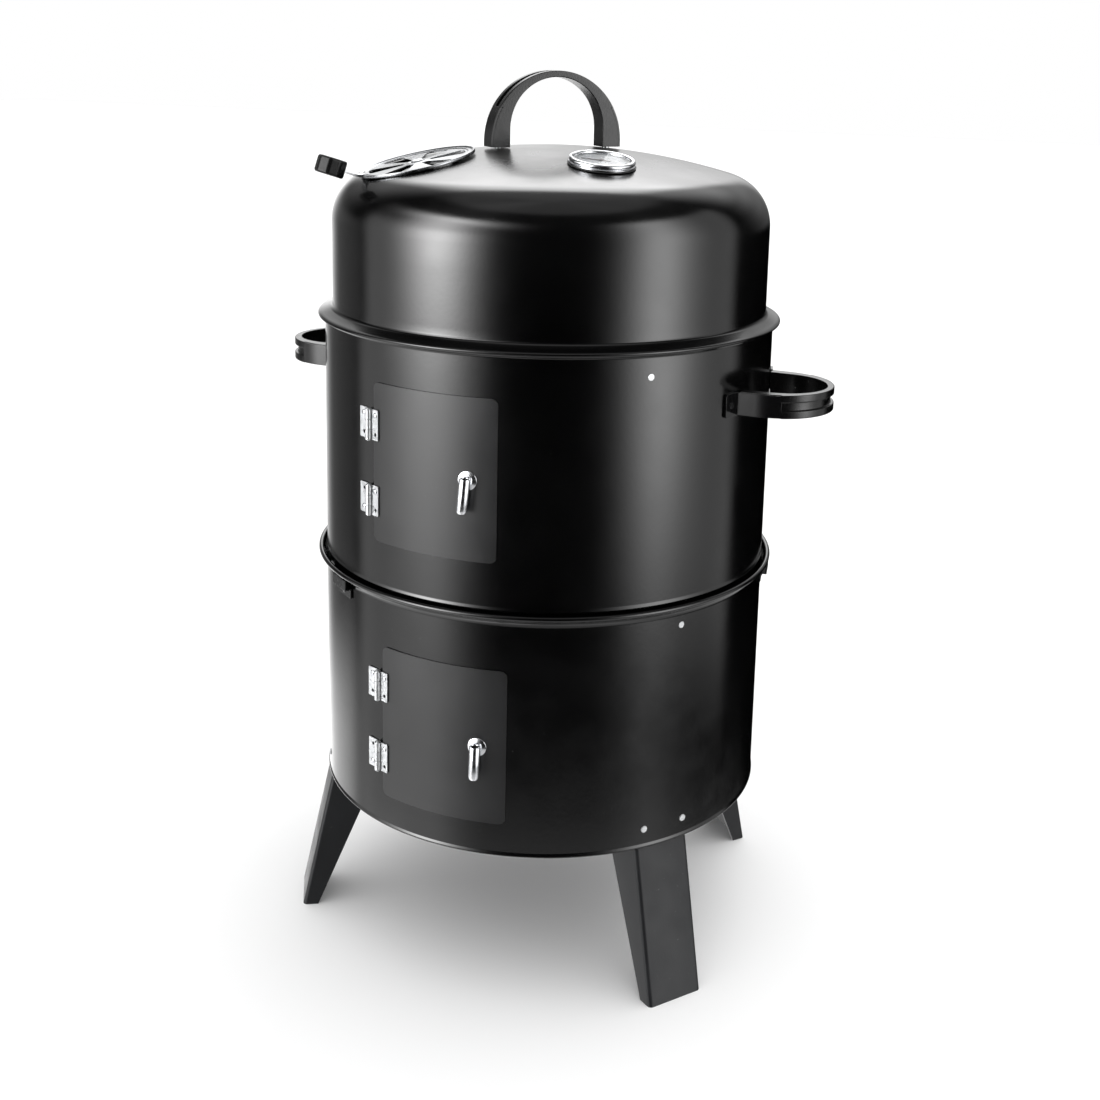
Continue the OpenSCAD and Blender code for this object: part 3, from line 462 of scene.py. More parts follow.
bead_z = Z_LID - 1.4
upper_top = bead_wall(199.2, 200.0, Z_COLLAR + 6, bead_z - 3.4, 202.4, bead_z, 2.0)
neck = [
    (199.2, Z_COLLAR + 6), (197.4, Z_COLLAR + 3.6), (197.0, Z_COLLAR + 2.4), (197.0, Z_COLLAR - 5.7),
    (197.8, Z_COLLAR - 5.7), (197.8, Z_COLLAR + 1.6), (198.3, Z_COLLAR + 2.4),
    *arc(199.3, Z_COLLAR + 4.0, 1.25, -130, 20, 8), (200.0, Z_COLLAR + 5.6), (200.0, Z_COLLAR + 7),
]
upper_barrel = build(
    "upper_barrel_shell", [(UPPER, lathe(neck + upper_top[2:], 288))], ENAMEL, "upper_section",
    ["upper_barrel"], sharp=50,
)
carve(upper_barrel, [door_cutter(UPPER, UPPER_DOOR_Z)], sharp=50)


# ---------------------------------------------------------------- doors
def door(name, node, body, matrix, z0):
    out = DOOR_IN + SHEET
    section = [(DOOR_IN, z0 - 2), (out, z0 - 2)]
    section += [(out, z0 + DOOR_H * i / 8) for i in range(1, 8)]
    section += [(out, z0 + DOOR_H + 2), (DOOR_IN, z0 + DOOR_H + 2)]
    panel = build(
        name, [(matrix, lathe(section, 60, -90 - DOOR_HALF, -90 + DOOR_HALF))], DOOR, body, [node],
        sharp=50, bevel=0.22,
    )
    half = BARREL_R * math.sin(rad(DOOR_HALF)) + 0.2
    shape = prism(rounded(-half, z0, half, z0 + DOOR_H, 5.5, 8), -30, 30)
    carve(panel, [(matrix @ move(0, -BARREL_R, 0) @ AXIS_OUT, shape)], 50, "INTERSECT")


door("lower_door_panel", "lower_door", "lower_door", ONE, LOWER_DOOR_Z)
door("upper_door_panel", "upper_door", "upper_door", UPPER, UPPER_DOOR_Z)


# ---------------------------------------------------------------- hinges
def leaf_plate(x0, x1):
    """A hinge leaf in local XY (Y upwards), LEAF_T thick along +Z."""
    return prism(rounded(x0, 0.05, x1, HINGE_H - 0.05, 0.8, 3), 0, LEAF_T)


def hinge_pieces(prefix, matrix, z0, fixed_body, door_body):
    fixed, moving, pins, fixed_rivets, moving_rivets = [], [], [], [], []
    seg = HINGE_H / 3
    for up, rivet in zip(HINGE_UPS, (RIVET_LOW, RIVET_HIGH)):
        at = matrix @ rot_z(-HINGE_AZ) @ move(0, 0, z0 + up)
        face = at @ move(0, -BARREL_R - 0.1, 0) @ AXIS_OUT
        over = at @ move(0, -DOOR_IN - SHEET - 0.1, 0) @ AXIS_OUT
        fixed.append((face, leaf_plate(-14, -3.1)))
        moving.append((over, leaf_plate(3.0, 11)))
        knuckle = at @ move(0, -HINGE_R, 0)
        for i in range(3):
            part = (knuckle, tube(2.8, 1.53, i * seg + 0.07, (i + 1) * seg - 0.07, 0.3))
            low, high = i * seg + 0.2, (i + 1) * seg - 0.2
            if i == 1:
                moving.append(part)
                moving.append((over, prism([(1.2, low), (4, low), (4, high), (1.2, high)], 0, LEAF_T)))
            else:
                fixed.append(part)
                fixed.append((face, prism([(-4, low), (-0.6, low), (-0.6, high), (-4, high)], 0, LEAF_T)))
        pins.append((knuckle, lathe([
            (0, -0.9), (1.3, -0.9), (1.9, -0.3), (1.9, 0.0), (1.5, 0.02), (1.5, HINGE_H - 0.02),
            (1.9, HINGE_H), (1.9, HINGE_H + 0.3), (1.3, HINGE_H + 0.9), (0, HINGE_H + 0.9),
        ], 28)))
        head = [(0, -0.05), (2.4, -0.05), (2.35, 0.25), (1.9, 0.75), (1.2, 1.0), (0, 1.05)]
        fixed_rivets.append((face @ move(-8.75, rivet, 1.0), lathe(head, 24)))
        moving_rivets.append((over @ move(7.6, RIVET_HIGH, 1.0), lathe(head, 24)))
    leaves = build(
        prefix + "_hinge_leaves_fixed", fixed, ZINC, fixed_body,
        [prefix + "_hinge_fixed_leaves"], bevel=0.12,
    )
    swinging = build(
        prefix + "_hinge_leaves_door", moving, ZINC, door_body,
        [prefix + "_hinge_door_leaves"], bevel=0.12,
    )
    holes_f, holes_m = [], []
    for up, hole in zip(HINGE_UPS, (RIVET_HIGH, RIVET_LOW)):
        at = matrix @ rot_z(-HINGE_AZ) @ move(0, 0, z0 + up)
        holes_f.append((at @ move(-8.75, -BARREL_R + 3, hole) @ AXIS_OUT, bar(1.5, 0, 10, 0.01, 24)))
        holes_m.append((at @ move(7.6, -BARREL_R + 3, RIVET_LOW) @ AXIS_OUT, bar(1.5, 0, 10, 0.01, 24)))
    carve(leaves, holes_f)
    carve(swinging, holes_m)
    build(prefix + "_hinge_pin_rods", pins, ZINC, fixed_body, [prefix + "_hinge_pins"])
    build(
        prefix + "_hinge_rivet_heads", fixed_rivets, BRIGHT, fixed_body,
        [prefix + "_hinge_rivets"],
    )
    build(
        prefix + "_door_rivet_heads", moving_rivets, BRIGHT, door_body,
        [prefix + "_door_rivets"],
    )


hinge_pieces("lower", ONE, LOWER_DOOR_Z, "base", "lower_door")
hinge_pieces("upper", UPPER, UPPER_DOOR_Z, "upper_section", "upper_door")


# ---------------------------------------------------------------- latches
def latch(prefix, matrix, z0, lean):
    at = matrix @ rot_z(LATCH_AZ) @ move(0, 0, z0 + LATCH_UP)
    seat = DOOR_IN + SHEET + 0.1
    face = at @ move(0, -seat, 0) @ AXIS_OUT
    dome = [(3.06, 0), (7.7, 0), (8.0, 0.3), (7.8, 0.65), (6.5, 1.1), (5.2, 1.4), (4.6, 1.6), (3.06, 1.6)]
    build(
        prefix + "_latch_escutcheon", [(face, lathe(dome, 56))], SATIN_CHROME, prefix + "_door",
        [prefix + "_latch_rosette"],
    )
    at = at @ Matrix.Rotation(rad(lean), 4, "Y")
    lever_y = seat + ROSETTE_T + LEVER_STANDOFF
    top, bottom = 3.4, -26.2
    hang = lathe(
        [(0, bottom), (2.2, bottom + 0.15), (3.8, bottom + 0.9), (4.45, bottom + 2.2),
         (4.6, bottom + 3.6), (4.6, top - 0.5), (4.4, top - 0.12), (4.05, top), (3.5, top - 0.15),
         (3.3, top - 0.6), (3.3, bottom + 4.6), (0, bottom + 4.6)], 56)
    shaft = bar(3.0, 191.4, lever_y - 3.5, 0.3)
    build(
        prefix + "_latch_handle",
        [(at @ move(0, -lever_y, 0), hang), (at @ AXIS_OUT, shaft)], SATIN_CHROME, prefix + "_latch",
        [prefix + "_latch_lever"],
    )
    # painted shade: a thin dark cup lining the lever's open bore, standing in for the shade inside it
    low, high = bottom + 4.65, top - 0.7
    painted_bore_shade = lathe([
        (3.29, high), (3.29, low), (0, low), (0, low + 0.1), (3.19, low + 0.1), (3.19, high),
    ], 40)
    build(
        prefix + "_latch_bore_painted_shade", [(at @ move(0, -lever_y, 0), painted_bore_shade)], RUBBER, prefix + "_latch", [],
    )


latch("lower", ONE, LOWER_DOOR_Z, 1.5)
latch("upper", UPPER, UPPER_DOOR_Z, 5.0)


# ---------------------------------------------------------------- screws
SIDE_AZ, SIDE_Z = (-86, 94), Z_BOTTOM + 374


def screw_head(radius=5.6, height=3.6):
    return [(0, 0), (radius - 0.2, 0), (radius, 0.3), (radius * 0.97, height * 0.36),
            (radius * 0.85, height * 0.64), (radius * 0.62, height * 0.86),
            (radius * 0.32, height * 0.97), (0, height)]


def screws(name, node, look, body, places, shank):
    """Domed cross-recess heads at places, each a matrix whose +Z points out of the wall at the seat."""
    parts, cuts = [], []
    for i, place in enumerate(places):
        parts += [(place, lathe(screw_head(), 40)), (place, bar(2.98, -shank, 0.2, 0.4))]
        spin = place @ rot_z(37 + 61 * i)
        for quarter in (0, 90):
            outline = rounded(-3.3, -0.75, 3.3, 0.75, 0.2, 2)
            cuts.append((spin @ rot_z(quarter), prism(outline, 1.4, 5)))
    piece = build(name, parts, look, body, [node], sharp=40)
    carve(piece, cuts, 40)


def wall_place(matrix, az, x, z, seat):
    return matrix @ rot_z(az) @ move(x, -seat, z) @ AXIS_OUT


screws(
    "leg_screw_heads", "leg_screws", SCREW, "base",
    [wall_place(ONE, a, x, Z_BOTTOM + 17, BARREL_R - 0.4) for a in LEG_AZS for x in (-20, 20)], 11,
)
screws(
    "lower_bracket_screw_heads", "lower_bracket_screws", SCREW, "base",
    [wall_place(ONE, a, 0, Z_COLLAR - 18, BARREL_R + 0.05) for a in (60, 180, 300)], 9,
)
screws(
    "upper_bracket_screw_heads", "upper_bracket_screws", SCREW, "upper_section",
    [wall_place(UPPER, a, 0, Z_LID - 21, BARREL_R + 0.05) for a in (52, 172, 292)], 9,
)
screws(
    "side_handle_screw_heads", "side_handle_screws", SATIN, "upper_section",
    [wall_place(UPPER, s + a, 0, SIDE_Z, BARREL_R + 2.25) for s in SIDE_AZ for a in (-17.3, 17.3)], 9,
)


# ---------------------------------------------------------------- legs
def leg(name, node, az):
    """A folded channel: rings of its cross-section from the top of the flanges to the floor."""
    thick, half, bend = 2.0, 27.0, 4.0
    top = Z_BOTTOM + 8

    def ring(z):
        face = LEG_FACE_R if z >= Z_BOTTOM else LEG_FACE_R + LEG_SPLAY * (1 - z / Z_BOTTOM)
        depth = 42.0 if z >= Z_BOTTOM else 14.0 + 28.0 * z / Z_BOTTOM
        outer = [(-half, depth)] + arc(-half + bend, bend, bend, 180, 270, 6)
        outer += arc(half - bend, bend, bend, 270, 360, 6) + [(half, depth)]
        inner = [(half - thick, depth)] + arc(half - bend, bend, bend - thick, 0, -90, 6)
        inner += arc(-half + bend, bend, bend - thick, -90, -180, 6) + [(-half + thick, depth)]
        return [(x, -face + y, z) for x, y in outer + inner]

    rings = [ring(z) for z in (top, Z_BOTTOM + 2.2, Z_BOTTOM, Z_BOTTOM - 2.5, 100.0, 66.0, 33.0, 1.2, 0.0)]
    tab = prism(rounded(-half, Z_BOTTOM + 5, half, Z_BOTTOM + 34, 3, 4), -thick, 0)
    build(
        name, [(rot_z(az), loft(rings)), (rot_z(az) @ move(0, -LEG_FACE_R, 0) @ AXIS_OUT, tab)],
        LEG_PAINT, "base", [node], sharp=34,
    )


for side, az in zip(("front_left", "front_right", "rear_left", "rear_right"), LEG_AZS):
    leg("leg_" + side + "_channel", "leg_" + side, az)


# ---------------------------------------------------------------- handles
def fillet(points, radius, n=3):
    """A closed outline with each of its corners softened."""
    soft = []
    for i, p in enumerate(points):
        ends = []
        for q in (points[i - 1], points[(i + 1) % len(points)]):
            d = math.hypot(q[0] - p[0], q[1] - p[1])
            ends.append((p[0] + (q[0] - p[0]) * radius / d, p[1] + (q[1] - p[1]) * radius / d))
        for k in range(n + 1):
            t = k / n
            soft.append(tuple(
                (1 - t) ** 2 * a + 2 * t * (1 - t) * b + t * t * c for a, b, c in zip(ends[0], p, ends[1])
            ))
    return soft


def grip_rings(half, h, foot, width=20.0, groove=7.2, deep=3.0, rebate=2.1, top=5.6, up=34.05):
    """An arched grip that stands on y = 0, grooved around its outside, its legs set in for the straps."""
    inner_half = half - foot
    oc, ic = h - half, h - top - inner_half
    step = math.asin((up - oc) / half)
    turns = [(math.pi - step * i / 12, True) for i in range(13)]
    nudge = {0: 0.0006, 48: -0.0006}  # keeps the first and last full rings off the sunk ones
    turns += [
        (math.pi - step + (2 * step - math.pi) * i / 48 - nudge.get(i, 0), False) for i in range(49)
    ]
    turns += [(step * (1 - i / 12), True) for i in range(13)]
    stations = [((-half, oc * t), (-inner_half, ic * t), (-1, 0), True) for t in (0.0, 0.5)]
    for a, sunk in turns:
        c, d = math.cos(a), math.sin(a)
        stations.append(((half * c, oc + half * d), (inner_half * c, ic + inner_half * d), (c, d), sunk))
    stations += [((half, oc * t), (inner_half, ic * t), (1, 0), True) for t in (0.5, 0.0)]
    rings = []
    for (ox, oy), (ix, iy), (nx, ny), sunk in stations:
        length = math.hypot(ox - ix, oy - iy)
        ux, uy = (ox - ix) / length, (oy - iy) / length
        slope = ux * nx + uy * ny
        w, g, floor_at = width / 2, groove / 2, length - deep / slope
        reach = length - (rebate / slope if sunk else 0)
        outline = [(0, -w), (0, w), (reach, w), (reach, g)]
        outline += [(floor_at, g), (floor_at, -g), (reach, -g), (reach, -w)]
        rings.append([
            (ix + ux * u, iy + uy * u, side) for u, side in fillet(outline, 0.45 if sunk else 0.9)
        ])
    return rings


def strap_rings(half, h, up, width=19.0, thick=2.0, sunk=2.1, start=0.1):
    """A strap let into the leg on the +X side, from a height up to another, as rings along its length."""
    rings, r, oc = [], half - sunk + 0.05, h - half
    points = [(r, y) for y in ([start] if start < oc else [])]
    a_end = math.asin(max(-1, min(1, (up - oc) / r)))
    points += [(r * math.cos(a_end * i / 10), oc + r * math.sin(a_end * i / 10)) for i in range(11)]
    for x, y in points:
        a = 0 if y <= oc else math.asin((y - oc) / r)
        nx, ny = math.cos(a), math.sin(a)
        w = width / 2
        far_x, far_y = x + nx * thick, y + ny * thick
        rings.append([(x, y, -w), (x, y, w), (far_x, far_y, w), (far_x, far_y, -w)])
    return rings


def mirror_x(shape):
    verts, faces = shape
    return [(-x, y, z) for x, y, z in verts], faces


def grip(name, node, body, place, half, h, foot):
    shape = loft(grip_rings(half, h, foot))
    piece = build(name, [(place, shape)], PLASTIC, body, [node], sharp=50)
    piece.modifiers.new("faces", "WEIGHTED_NORMAL").keep_sharp = True


FOOT_Y = BARREL_R - 3.4
LAY = Matrix.Rotation(rad(180), 4, "X")
straps = []
for side, az in zip(("left", "right"), SIDE_AZ):
    place = UPPER @ rot_z(az) @ move(0, -FOOT_Y, SIDE_Z) @ LAY
    grip(side + "_handle_moulding", side + "_handle_grip", "upper_section", place, *SIDE_GRIP)
    curve = loft(strap_rings(*SIDE_GRIP[:2], STRAP_UP, start=-1.4))
    straps += [(place, curve), (place, mirror_x(curve))]
    for s in (-17.3, 17.3):
        inner = -10 if s > 0 else -8
        plate = prism(rounded(inner, -10, inner + 18, 10, 2.2, 4), 0, 2)
        straps.append((UPPER @ rot_z(az + s) @ move(0, -BARREL_R - 0.2, SIDE_Z) @ AXIS_OUT, plate))
build(
    "side_handle_straps", straps, STRAP, "upper_section", ["side_handle_brackets"],
    bevel=0.25,
)


# ---------------------------------------------------------------- lid
CENTRE = LID_R - SHOULDER_R
DOME_ANGLE = math.degrees(math.asin(CENTRE / (DOME_R - SHOULDER_R)))
JOINT_Z = SKIRT_H + SHOULDER_R * math.cos(rad(DOME_ANGLE))
APEX_Z = JOINT_Z + DOME_R * (1 - math.cos(rad(DOME_ANGLE)))


def dome_z(r):
    return APEX_Z - DOME_R + math.sqrt(DOME_R * DOME_R - r * r)


def lid_line(d):
    """The lid's section from its apex to its edge, at a depth below its outer face."""
    line = arc(0, APEX_Z - DOME_R, DOME_R - d, 90, 90 - DOME_ANGLE, 26)
    line += arc(CENTRE, SKIRT_H, SHOULDER_R - d, 90 - DOME_ANGLE - 4, 0, 18)
    line += [(LID_R - d, 60.0), (LID_R - d, 36.0), (LID_R - d, 14.0)]
    line += arc(LID_R + 4.0, 8.2, 4.0 + d, 180, 246, 8)
    return line


def lid_section():
    outer = lid_line(0) + [
        (203.0, 1.75), (204.6, 1.15), (205.6, 0.6), (206.1, -0.05), (206.2, -0.7), (206.05, -1.25),
    ]
    inner = lid_line(SHEET) + [(202.8, 0.95), (204.3, 0.35), (205.0, -0.1), (205.35, -0.7), (205.45, -1.3)]
    outer[0], inner[0] = (0.0, outer[0][1]), (0.0, inner[0][1])
    return outer + list(reversed(inner))


DAMPER_AT, DAMPER_R = 125.0, 50.5
DAMPER_TILT = math.degrees(math.asin(DAMPER_AT / DOME_R)) + 1.3
LAND_DROP = 1.2
DAMPER = LID @ rot_z(-90) @ move(0, -DAMPER_AT, dome_z(DAMPER_AT))
DAMPER = DAMPER @ Matrix.Rotation(rad(DAMPER_TILT), 4, "X") @ move(0, 0, -LAND_DROP)
THERMO_AT = 104.0
THERMO_TILT = math.degrees(math.asin(THERMO_AT / DOME_R))
THERMO = LID @ move(0, -THERMO_AT, dome_z(THERMO_AT)) @ Matrix.Rotation(rad(THERMO_TILT), 4, "X")

lid_shell = build(
    "lid_dome", [(LID, lathe(lid_section(), 288))], LID_ENAMEL, "lid", ["lid_shell"],
    sharp=50,
)
carve(lid_shell, [(DAMPER, bar(55.0, 0, 20, 0.01, 128)), (THERMO, bar(7.1, -10, 10, 0.01, 40))], 50)


def wedge(a0, a1, r0, r1, z0, z1, soft=2.0):
    """A wedge-shaped opening with softened corners."""
    inner_cut, outer_cut = math.degrees(soft / r0), math.degrees(soft / r1)
    inner = arc(0, 0, r0, a0 + inner_cut, a1 - inner_cut, 6)
    outer = arc(0, 0, r1, a1 - outer_cut, a0 + outer_cut, 14)
    sides = [((r1 - soft) * math.cos(rad(a)), (r1 - soft) * math.sin(rad(a))) for a in (a1, a0)]
    inners = [((r0 + soft) * math.cos(rad(a)), (r0 + soft) * math.sin(rad(a))) for a in (a1, a0)]
    return prism(inner + [inners[0], sides[0]] + outer + [sides[1], inners[1]], z0, z1)


SLOTS, SLOT_ANGLE, SLOT_IN, SLOT_OUT, DAMPER_PHASE = 6, 30.0, 11.0, 42.0, 14.0


def openings(phase):
    middles = [i * 360 / SLOTS + phase for i in range(SLOTS)]
    half = SLOT_ANGLE / 2
    return [(DAMPER, wedge(m - half, m + half, SLOT_IN, SLOT_OUT, -6, 6)) for m in middles]


seat = build(
    "lid_damper_seat", [(DAMPER, bar(55.3, -SHEET, -0.02, 0.1, 128))], ENAMEL, "lid", [],
)
below_dome = [(0, APEX_Z - 0.1)] + lid_line(0.1)[1:-9] + [(0, 14.0)]
carve(seat, [(LID, lathe(below_dome, 288))], 32, "INTERSECT")
carve(seat, openings(0))
carve(lid_shell, openings(0), 50)
disc_section = [(3.1, 0.3), (50.3, 0.3), (50.5, 0.6), (50.5, 2.4), (50.2, 2.8), (49.6, 2.9),
                (48.9, 2.8), (48.4, 2.3), (47.8, 1.75), (47.0, 1.6), (46.3, 1.8),
                (45.8, 2.15), (45.0, 2.2), (44.4, 1.95), (43.9, 1.5),
                (9.4, 1.5), (8.6, 1.9), (7.6, 2.1), (6.6, 1.9), (5.9, 1.5), (3.1, 1.5)]
disc = build(
    "damper_plate", [(DAMPER, lathe(disc_section, 160))], DAMPER_STEEL, "damper", ["damper_disc"],
    sharp=40,
)
carve(disc, openings(DAMPER_PHASE), 40)
arm_line = [(-47.0, 2.0), (-50.6, 2.4), (-53.5, 3.1), (-57.0, 5.0), (-68.0, 11.8), (-73.0, 14.6)]
arm = loft([
    [(-w, y, z - 1.5), (w, y, z - 1.5), (w, y - 0.5, z + 1.3), (-w, y - 0.5, z + 1.3)]
    for (y, z), w in zip(arm_line, (6.5, 6.0, 5.4, 5.0, 5.0, 5.0))
])
build("damper_arm", [(DAMPER, arm)], CHROME, "damper", [], bevel=0.3)
knob_at = DAMPER @ move(0, -74, 16) @ Matrix.Rotation(rad(-31), 4, "X") @ rot_z(22.5)
octagon = [(13 * math.cos(rad(45 * i)), 13 * math.sin(rad(45 * i))) for i in range(8)]
build(
    "damper_grip", [(knob_at, prism(octagon, -7.5, 7.5))], KNOB, "damper", ["damper_knob"],
    bevel=2.2, segments=4,
)
pivot_section = [(0, -2.4), (5, -2.4), (5, -1.2), (2.9, -1.1), (2.9, 1.9), (5.4, 1.9), (5.5, 2.2),
                 (4.8, 3.0), (3.2, 3.4), (0, 3.4)]
build(
    "damper_pivot", [(DAMPER, lathe(pivot_section, 40))], BRIGHT, "lid", ["damper_rivet"],
)

# lid handle
HANDLE_FOOT = dome_z(LID_GRIP[0]) + 2.2
HANDLE = LID @ move(0, 0, HANDLE_FOOT) @ AXIS_OUT
grip("lid_handle_moulding", "lid_handle_grip", "lid", HANDLE, *LID_GRIP)
curve = loft(strap_rings(*LID_GRIP[:2], STRAP_UP, start=0.1))
flange = prism(rounded(45.25, -3.4, 61.2, 3.4, 0.8, 3), 0.1, 2.1)
flange = ([(x, z, y) for x, y, z in flange[0]], flange[1])
build(
    "lid_handle_straps", [(HANDLE, part) for part in (curve, mirror_x(curve), flange, mirror_x(flange))],
    STRAP, "lid", ["lid_handle_brackets"], bevel=0.25,
)

# thermometer
case_line = [(3.0, 0.7), (27.2, 0.7), (27.7, 1.1), (27.7, 1.9), (27.3, 2.3), (27.0, 2.6),
             *arc(25.5, 4.1, 2.2, -40, 190, 18), (23.5, 2.7), (3.0, 2.7)]
seal_line = [(7.1, 0.02), (28.2, 0.02), (28.6, 0.2), (28.5, 0.6), (28.0, 0.68), (7.1, 0.68)]
face_line = [(1, 2.75), (23.0, 2.75), (23.0, 3.5), (22.6, 3.6), (1, 3.6)]
build(
    "thermometer_bezel", [(THERMO, lathe(case_line, 96))], SATIN_CHROME, "lid", ["thermometer_case"],
    sharp=40,
)
build(
    "thermometer_seal", [(THERMO, lathe(seal_line, 96))], RUBBER, "lid", ["thermometer_gasket"],
)
build("thermometer_face", [(THERMO, lathe(face_line, 96))], DIAL, "lid", ["thermometer_dial"])
ticks = []
for i in range(41):
    w, inner = (0.28, 18.4) if i % 5 == 0 else (0.16, 19.6)
    spin = THERMO @ rot_z(-130 + 6.5 * i)
    ticks.append((spin, prism([(-w, inner), (w, inner), (w, 21.4), (-w, 21.4)], 3.55, 3.68)))
build("thermometer_scale", ticks, MARKS, "lid", [])
pointer = prism([(-1.1, -7), (1.1, -7), (0.35, 17.5), (-0.35, 17.5)], 3.8, 4.15)
hub, pin = bar(2.2, 3.75, 4.6, 0.2, 28), bar(0.9, 2.85, 3.85, 0.05, 20)
build(
    "thermometer_pointer", [(THERMO @ rot_z(60), pointer), (THERMO, hub), (THERMO, pin)],
    NEEDLE, "needle", ["thermometer_needle"],
)
build(
    "thermometer_glass", [(THERMO, bar(23.35, 5.0, 5.9, 0.15, 80))], GLASS, "lid", ["thermometer_lens"],
)


# ---------------------------------------------------------------- rim clips
clip_section = [(200.1, -20), (200.1, -11.2), (205.3, -11.2), (205.3, -3.2), (206.5, -3.2),
                (206.5, -12.4), (201.3, -12.4), (201.3, -20)]
clip_fold = loft([[(x, -r, Z_COLLAR + z) for r, z in clip_section] for x in (-13, 13)])
clip_rivet = lathe([(0, 0), (2.4, 0), (2.3, 0.4), (1.4, 0.9), (0, 1.0)], 24)
clips = []
for az in (-34, 104, 215):
    clips.append((rot_z(az), clip_fold))
    clips.append((rot_z(az) @ move(0, -201.25, Z_COLLAR - 16) @ AXIS_OUT, clip_rivet))
build("rim_clip_folds", clips, SATIN, "base", ["rim_clips"], bevel=0.3)

# ---------------------------------------------------------------- camera
camera = bpy.data.objects.new("camera", bpy.data.cameras.new("camera"))
bpy.context.scene.collection.objects.link(camera)
yaw, pitch, roll = rad(CAMERA_AZ - 0.0722), rad(11.8726), rad(1.1793)
forward = Vector(
    (-math.sin(yaw) * math.cos(pitch), math.cos(yaw) * math.cos(pitch), -math.sin(pitch))
)
right0 = Vector((math.cos(yaw), math.sin(yaw), 0))
up0 = right0.cross(forward)
right = right0 * math.cos(roll) + up0 * math.sin(roll)
up = up0 * math.cos(roll) - right0 * math.sin(roll)
turn = Matrix((right, up, -forward)).transposed().to_4x4()
spot = Vector((math.sin(rad(CAMERA_AZ)), -math.cos(rad(CAMERA_AZ)), 0)) * CAMERA_AWAY
camera.matrix_world = Matrix.Translation(spot + Vector((0, 0, CAMERA_UP))) @ turn
camera.data.sensor_width = 36.0
camera.data.lens = 49.436
camera.data.shift_y = -0.16623
camera.data.clip_end = 60.0
bpy.context.scene.camera = camera

# ---------------------------------------------------------------- floor and light
floor_mesh = bpy.data.meshes.new("floor")
corners = [(x * FLOOR_HALF, y * FLOOR_HALF, 0) for x, y in ((-1, -1), (1, -1), (1, 1), (-1, 1))]
floor_mesh.from_pydata(corners, [], [(0, 1, 2, 3)])
floor = bpy.data.objects.new("floor", floor_mesh)
bpy.context.scene.collection.objects.link(floor)
paper = bpy.data.materials.new("pale_floor")
tree = nodes_of(paper)
out, shader = tree.nodes.new("ShaderNodeOutputMaterial"), tree.nodes.new("ShaderNodeBsdfPrincipled")
tree.links.new(shader.outputs[0], out.inputs[0])
shader.inputs["Base Color"].default_value = (0.85, 0.85, 0.85, 1)
shader.inputs["Roughness"].default_value = 0.9
shader.inputs["Specular IOR Level"].default_value = 0.1
shader.inputs["Emission Color"].default_value = (1, 1, 1, 1)
shader.inputs["Emission Strength"].default_value = 0.06
floor_mesh.materials.append(paper)
floor.visible_glossy = False

world = bpy.data.worlds.new("studio")
bpy.context.scene.world = world
world.use_nodes = True
tree = world.node_tree
tree.nodes.clear()


def node(kind, **values):
    n = tree.nodes.new(kind)
    for k, v in values.items():
        setattr(n, k, v)
    return n


def sums(operation, *terms):
    n = node("ShaderNodeMath", operation=operation)
    for i, term in enumerate(terms):
        if isinstance(term, (int, float)):
            n.inputs[i].default_value = term
        else:
            tree.links.new(term, n.inputs[i])
    return n.outputs[0]


def ramp(value, low, high, at_low, at_high):
    n = node("ShaderNodeMapRange", interpolation_type="SMOOTHSTEP")
    tree.links.new(value, n.inputs["Value"])
    for key, v in (("From Min", low), ("From Max", high), ("To Min", at_low), ("To Max", at_high)):
        n.inputs[key].default_value = v
    return n.outputs["Result"]


place = node("ShaderNodeTexCoord")
spin = node("ShaderNodeVectorRotate", rotation_type="Z_AXIS")
spin.inputs["Angle"].default_value = rad(-CAMERA_AZ)
tree.links.new(place.outputs["Generated"], spin.inputs["Vector"])
split = node("ShaderNodeSeparateXYZ")
tree.links.new(spin.outputs[0], split.inputs[0])
ahead = sums("MULTIPLY", split.outputs[1], -1.0)
azimuth = sums("MULTIPLY", sums("ARCTAN2", split.outputs[0], ahead), 180 / math.pi)
elevation = sums("MULTIPLY", sums("ARCSINE", split.outputs[2]), 180 / math.pi)
away = sums("ABSOLUTE", azimuth)


def lobe(centre, width, strength):
    x = sums("DIVIDE", sums("SUBTRACT", azimuth, centre), width)
    return sums("MULTIPLY", sums("EXPONENT", sums("MULTIPLY", sums("MULTIPLY", x, x), -1.0)), strength)


def product(first, *others):
    for other in others:
        first = sums("MULTIPLY", first, other)
    return first


def total(first, *others):
    for other in others:
        first = sums("ADD", first, other)
    return first


# soft boxes on both sides, fading towards the ground, with a weaker wall of light behind them
left_box = product(lobe(-59, 17.5, 9.6), ramp(elevation, -15, -6, 0.42, 1.05),
                   ramp(elevation, -28, -11, 0.28, 1))
left_top = product(lobe(-57, 22, 13.0), ramp(elevation, 18, 34, 0, 1))
left_box = sums("MAXIMUM", left_box, left_top)
left_glow = product(lobe(-57, 15, 6.5), ramp(elevation, -11, -5, 0, 1), ramp(elevation, 6, 18, 1, 0))
right_box = product(lobe(57.5, 16.5, 5.7), ramp(elevation, -25.5, -10, 0.07, 1.0),
                    ramp(elevation, 0, 30, 1, 0.85))
left_wall = product(ramp(azimuth, -85, -60, 0.95, 0), ramp(azimuth, -114, -103, 0, 1),
                    ramp(elevation, 8, 26, 1, 0.15))
right_wall = product(ramp(azimuth, 60, 85, 0, 0.8), ramp(azimuth, 103, 114, 1, 0),
                     ramp(elevation, -26, -19, 0, 1))
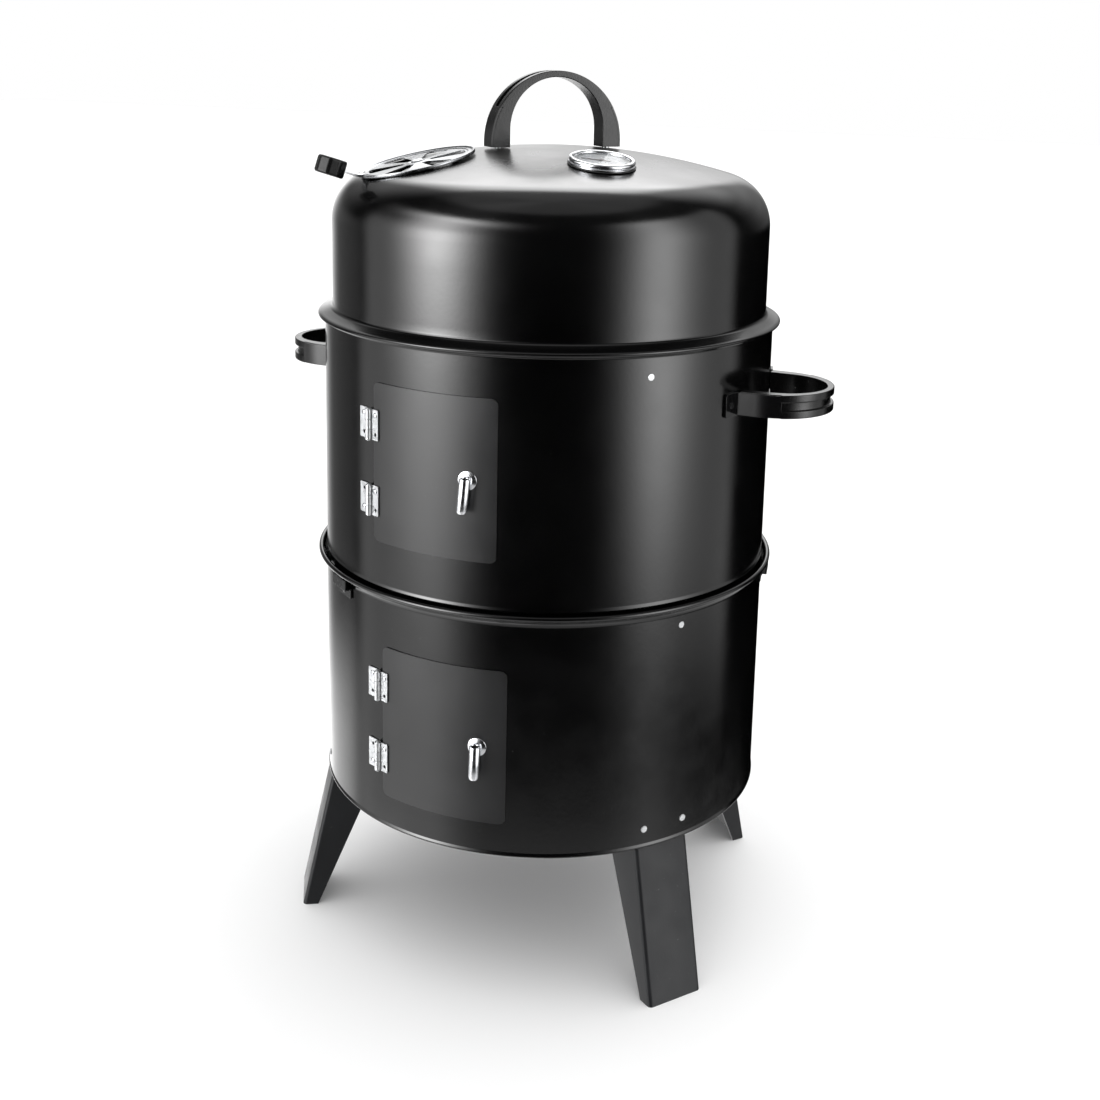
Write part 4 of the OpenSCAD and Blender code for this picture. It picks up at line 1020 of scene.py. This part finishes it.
sides = product(total(left_box, left_glow, right_box, left_wall, right_wall),
                ramp(elevation, 32, 42, 1, 0.02))
# one box high up at the back, the pale room behind, and the pale ground
back = total(ramp(elevation, -3, 12, 0.5, 1.4), ramp(elevation, 11, 22, 0, 1.2),
             ramp(elevation, 24, 35, 0, 3.0))
high_back = product(back, ramp(elevation, 52, 62, 1, 0.03), ramp(away, 112, 150, 0, 1))
high_back = product(high_back, ramp(split.outputs[0], -0.42, -0.13, 0.12, 1.0),
                    ramp(elevation, -6, -2, 0, 1))
high_back = product(high_back, ramp(split.outputs[0], 0.17, 0.34, 1.0, 0.25))
back_edge = product(ramp(azimuth, -118, -108, 0.2, 0), ramp(elevation, 0, 10, 1, 0))
zenith = ramp(elevation, 54, 64, 0, 0.5)
ground = ramp(elevation, -30.5, -27.5, 0.75, 0)
left_ground = product(ramp(azimuth, -125, -100, 1, 0), ramp(elevation, -26, -20, 1.5, 0))
left_rim = product(ramp(azimuth, -168, -142, 1.0, 0), ramp(elevation, 0, 12, 1, 0))
pattern = total(sides, high_back, back_edge, left_rim, zenith, sums("MAXIMUM", ground, left_ground))
soft_sky = product(ramp(elevation, 0, 55, SKY_LOW, SKY_HIGH), ramp(azimuth, 60, 140, 1, 1.35))

seen = node("ShaderNodeLightPath")
studio, sky, white = [node("ShaderNodeBackground") for _ in range(3)]
for background, strength in ((studio, pattern), (sky, soft_sky)):
    tree.links.new(strength, background.inputs["Strength"])
for background in (studio, sky, white):
    background.inputs["Color"].default_value = (1, 1, 1, 1)
first, second, end = node("ShaderNodeMixShader"), node("ShaderNodeMixShader"), node("ShaderNodeOutputWorld")
tree.links.new(seen.outputs["Is Glossy Ray"], first.inputs[0])
tree.links.new(sky.outputs[0], first.inputs[1])
tree.links.new(studio.outputs[0], first.inputs[2])
tree.links.new(seen.outputs["Is Camera Ray"], second.inputs[0])
tree.links.new(first.outputs[0], second.inputs[1])
tree.links.new(white.outputs[0], second.inputs[2])
tree.links.new(second.outputs[0], end.inputs[0])
bpy.context.scene.view_settings.view_transform = "Standard"
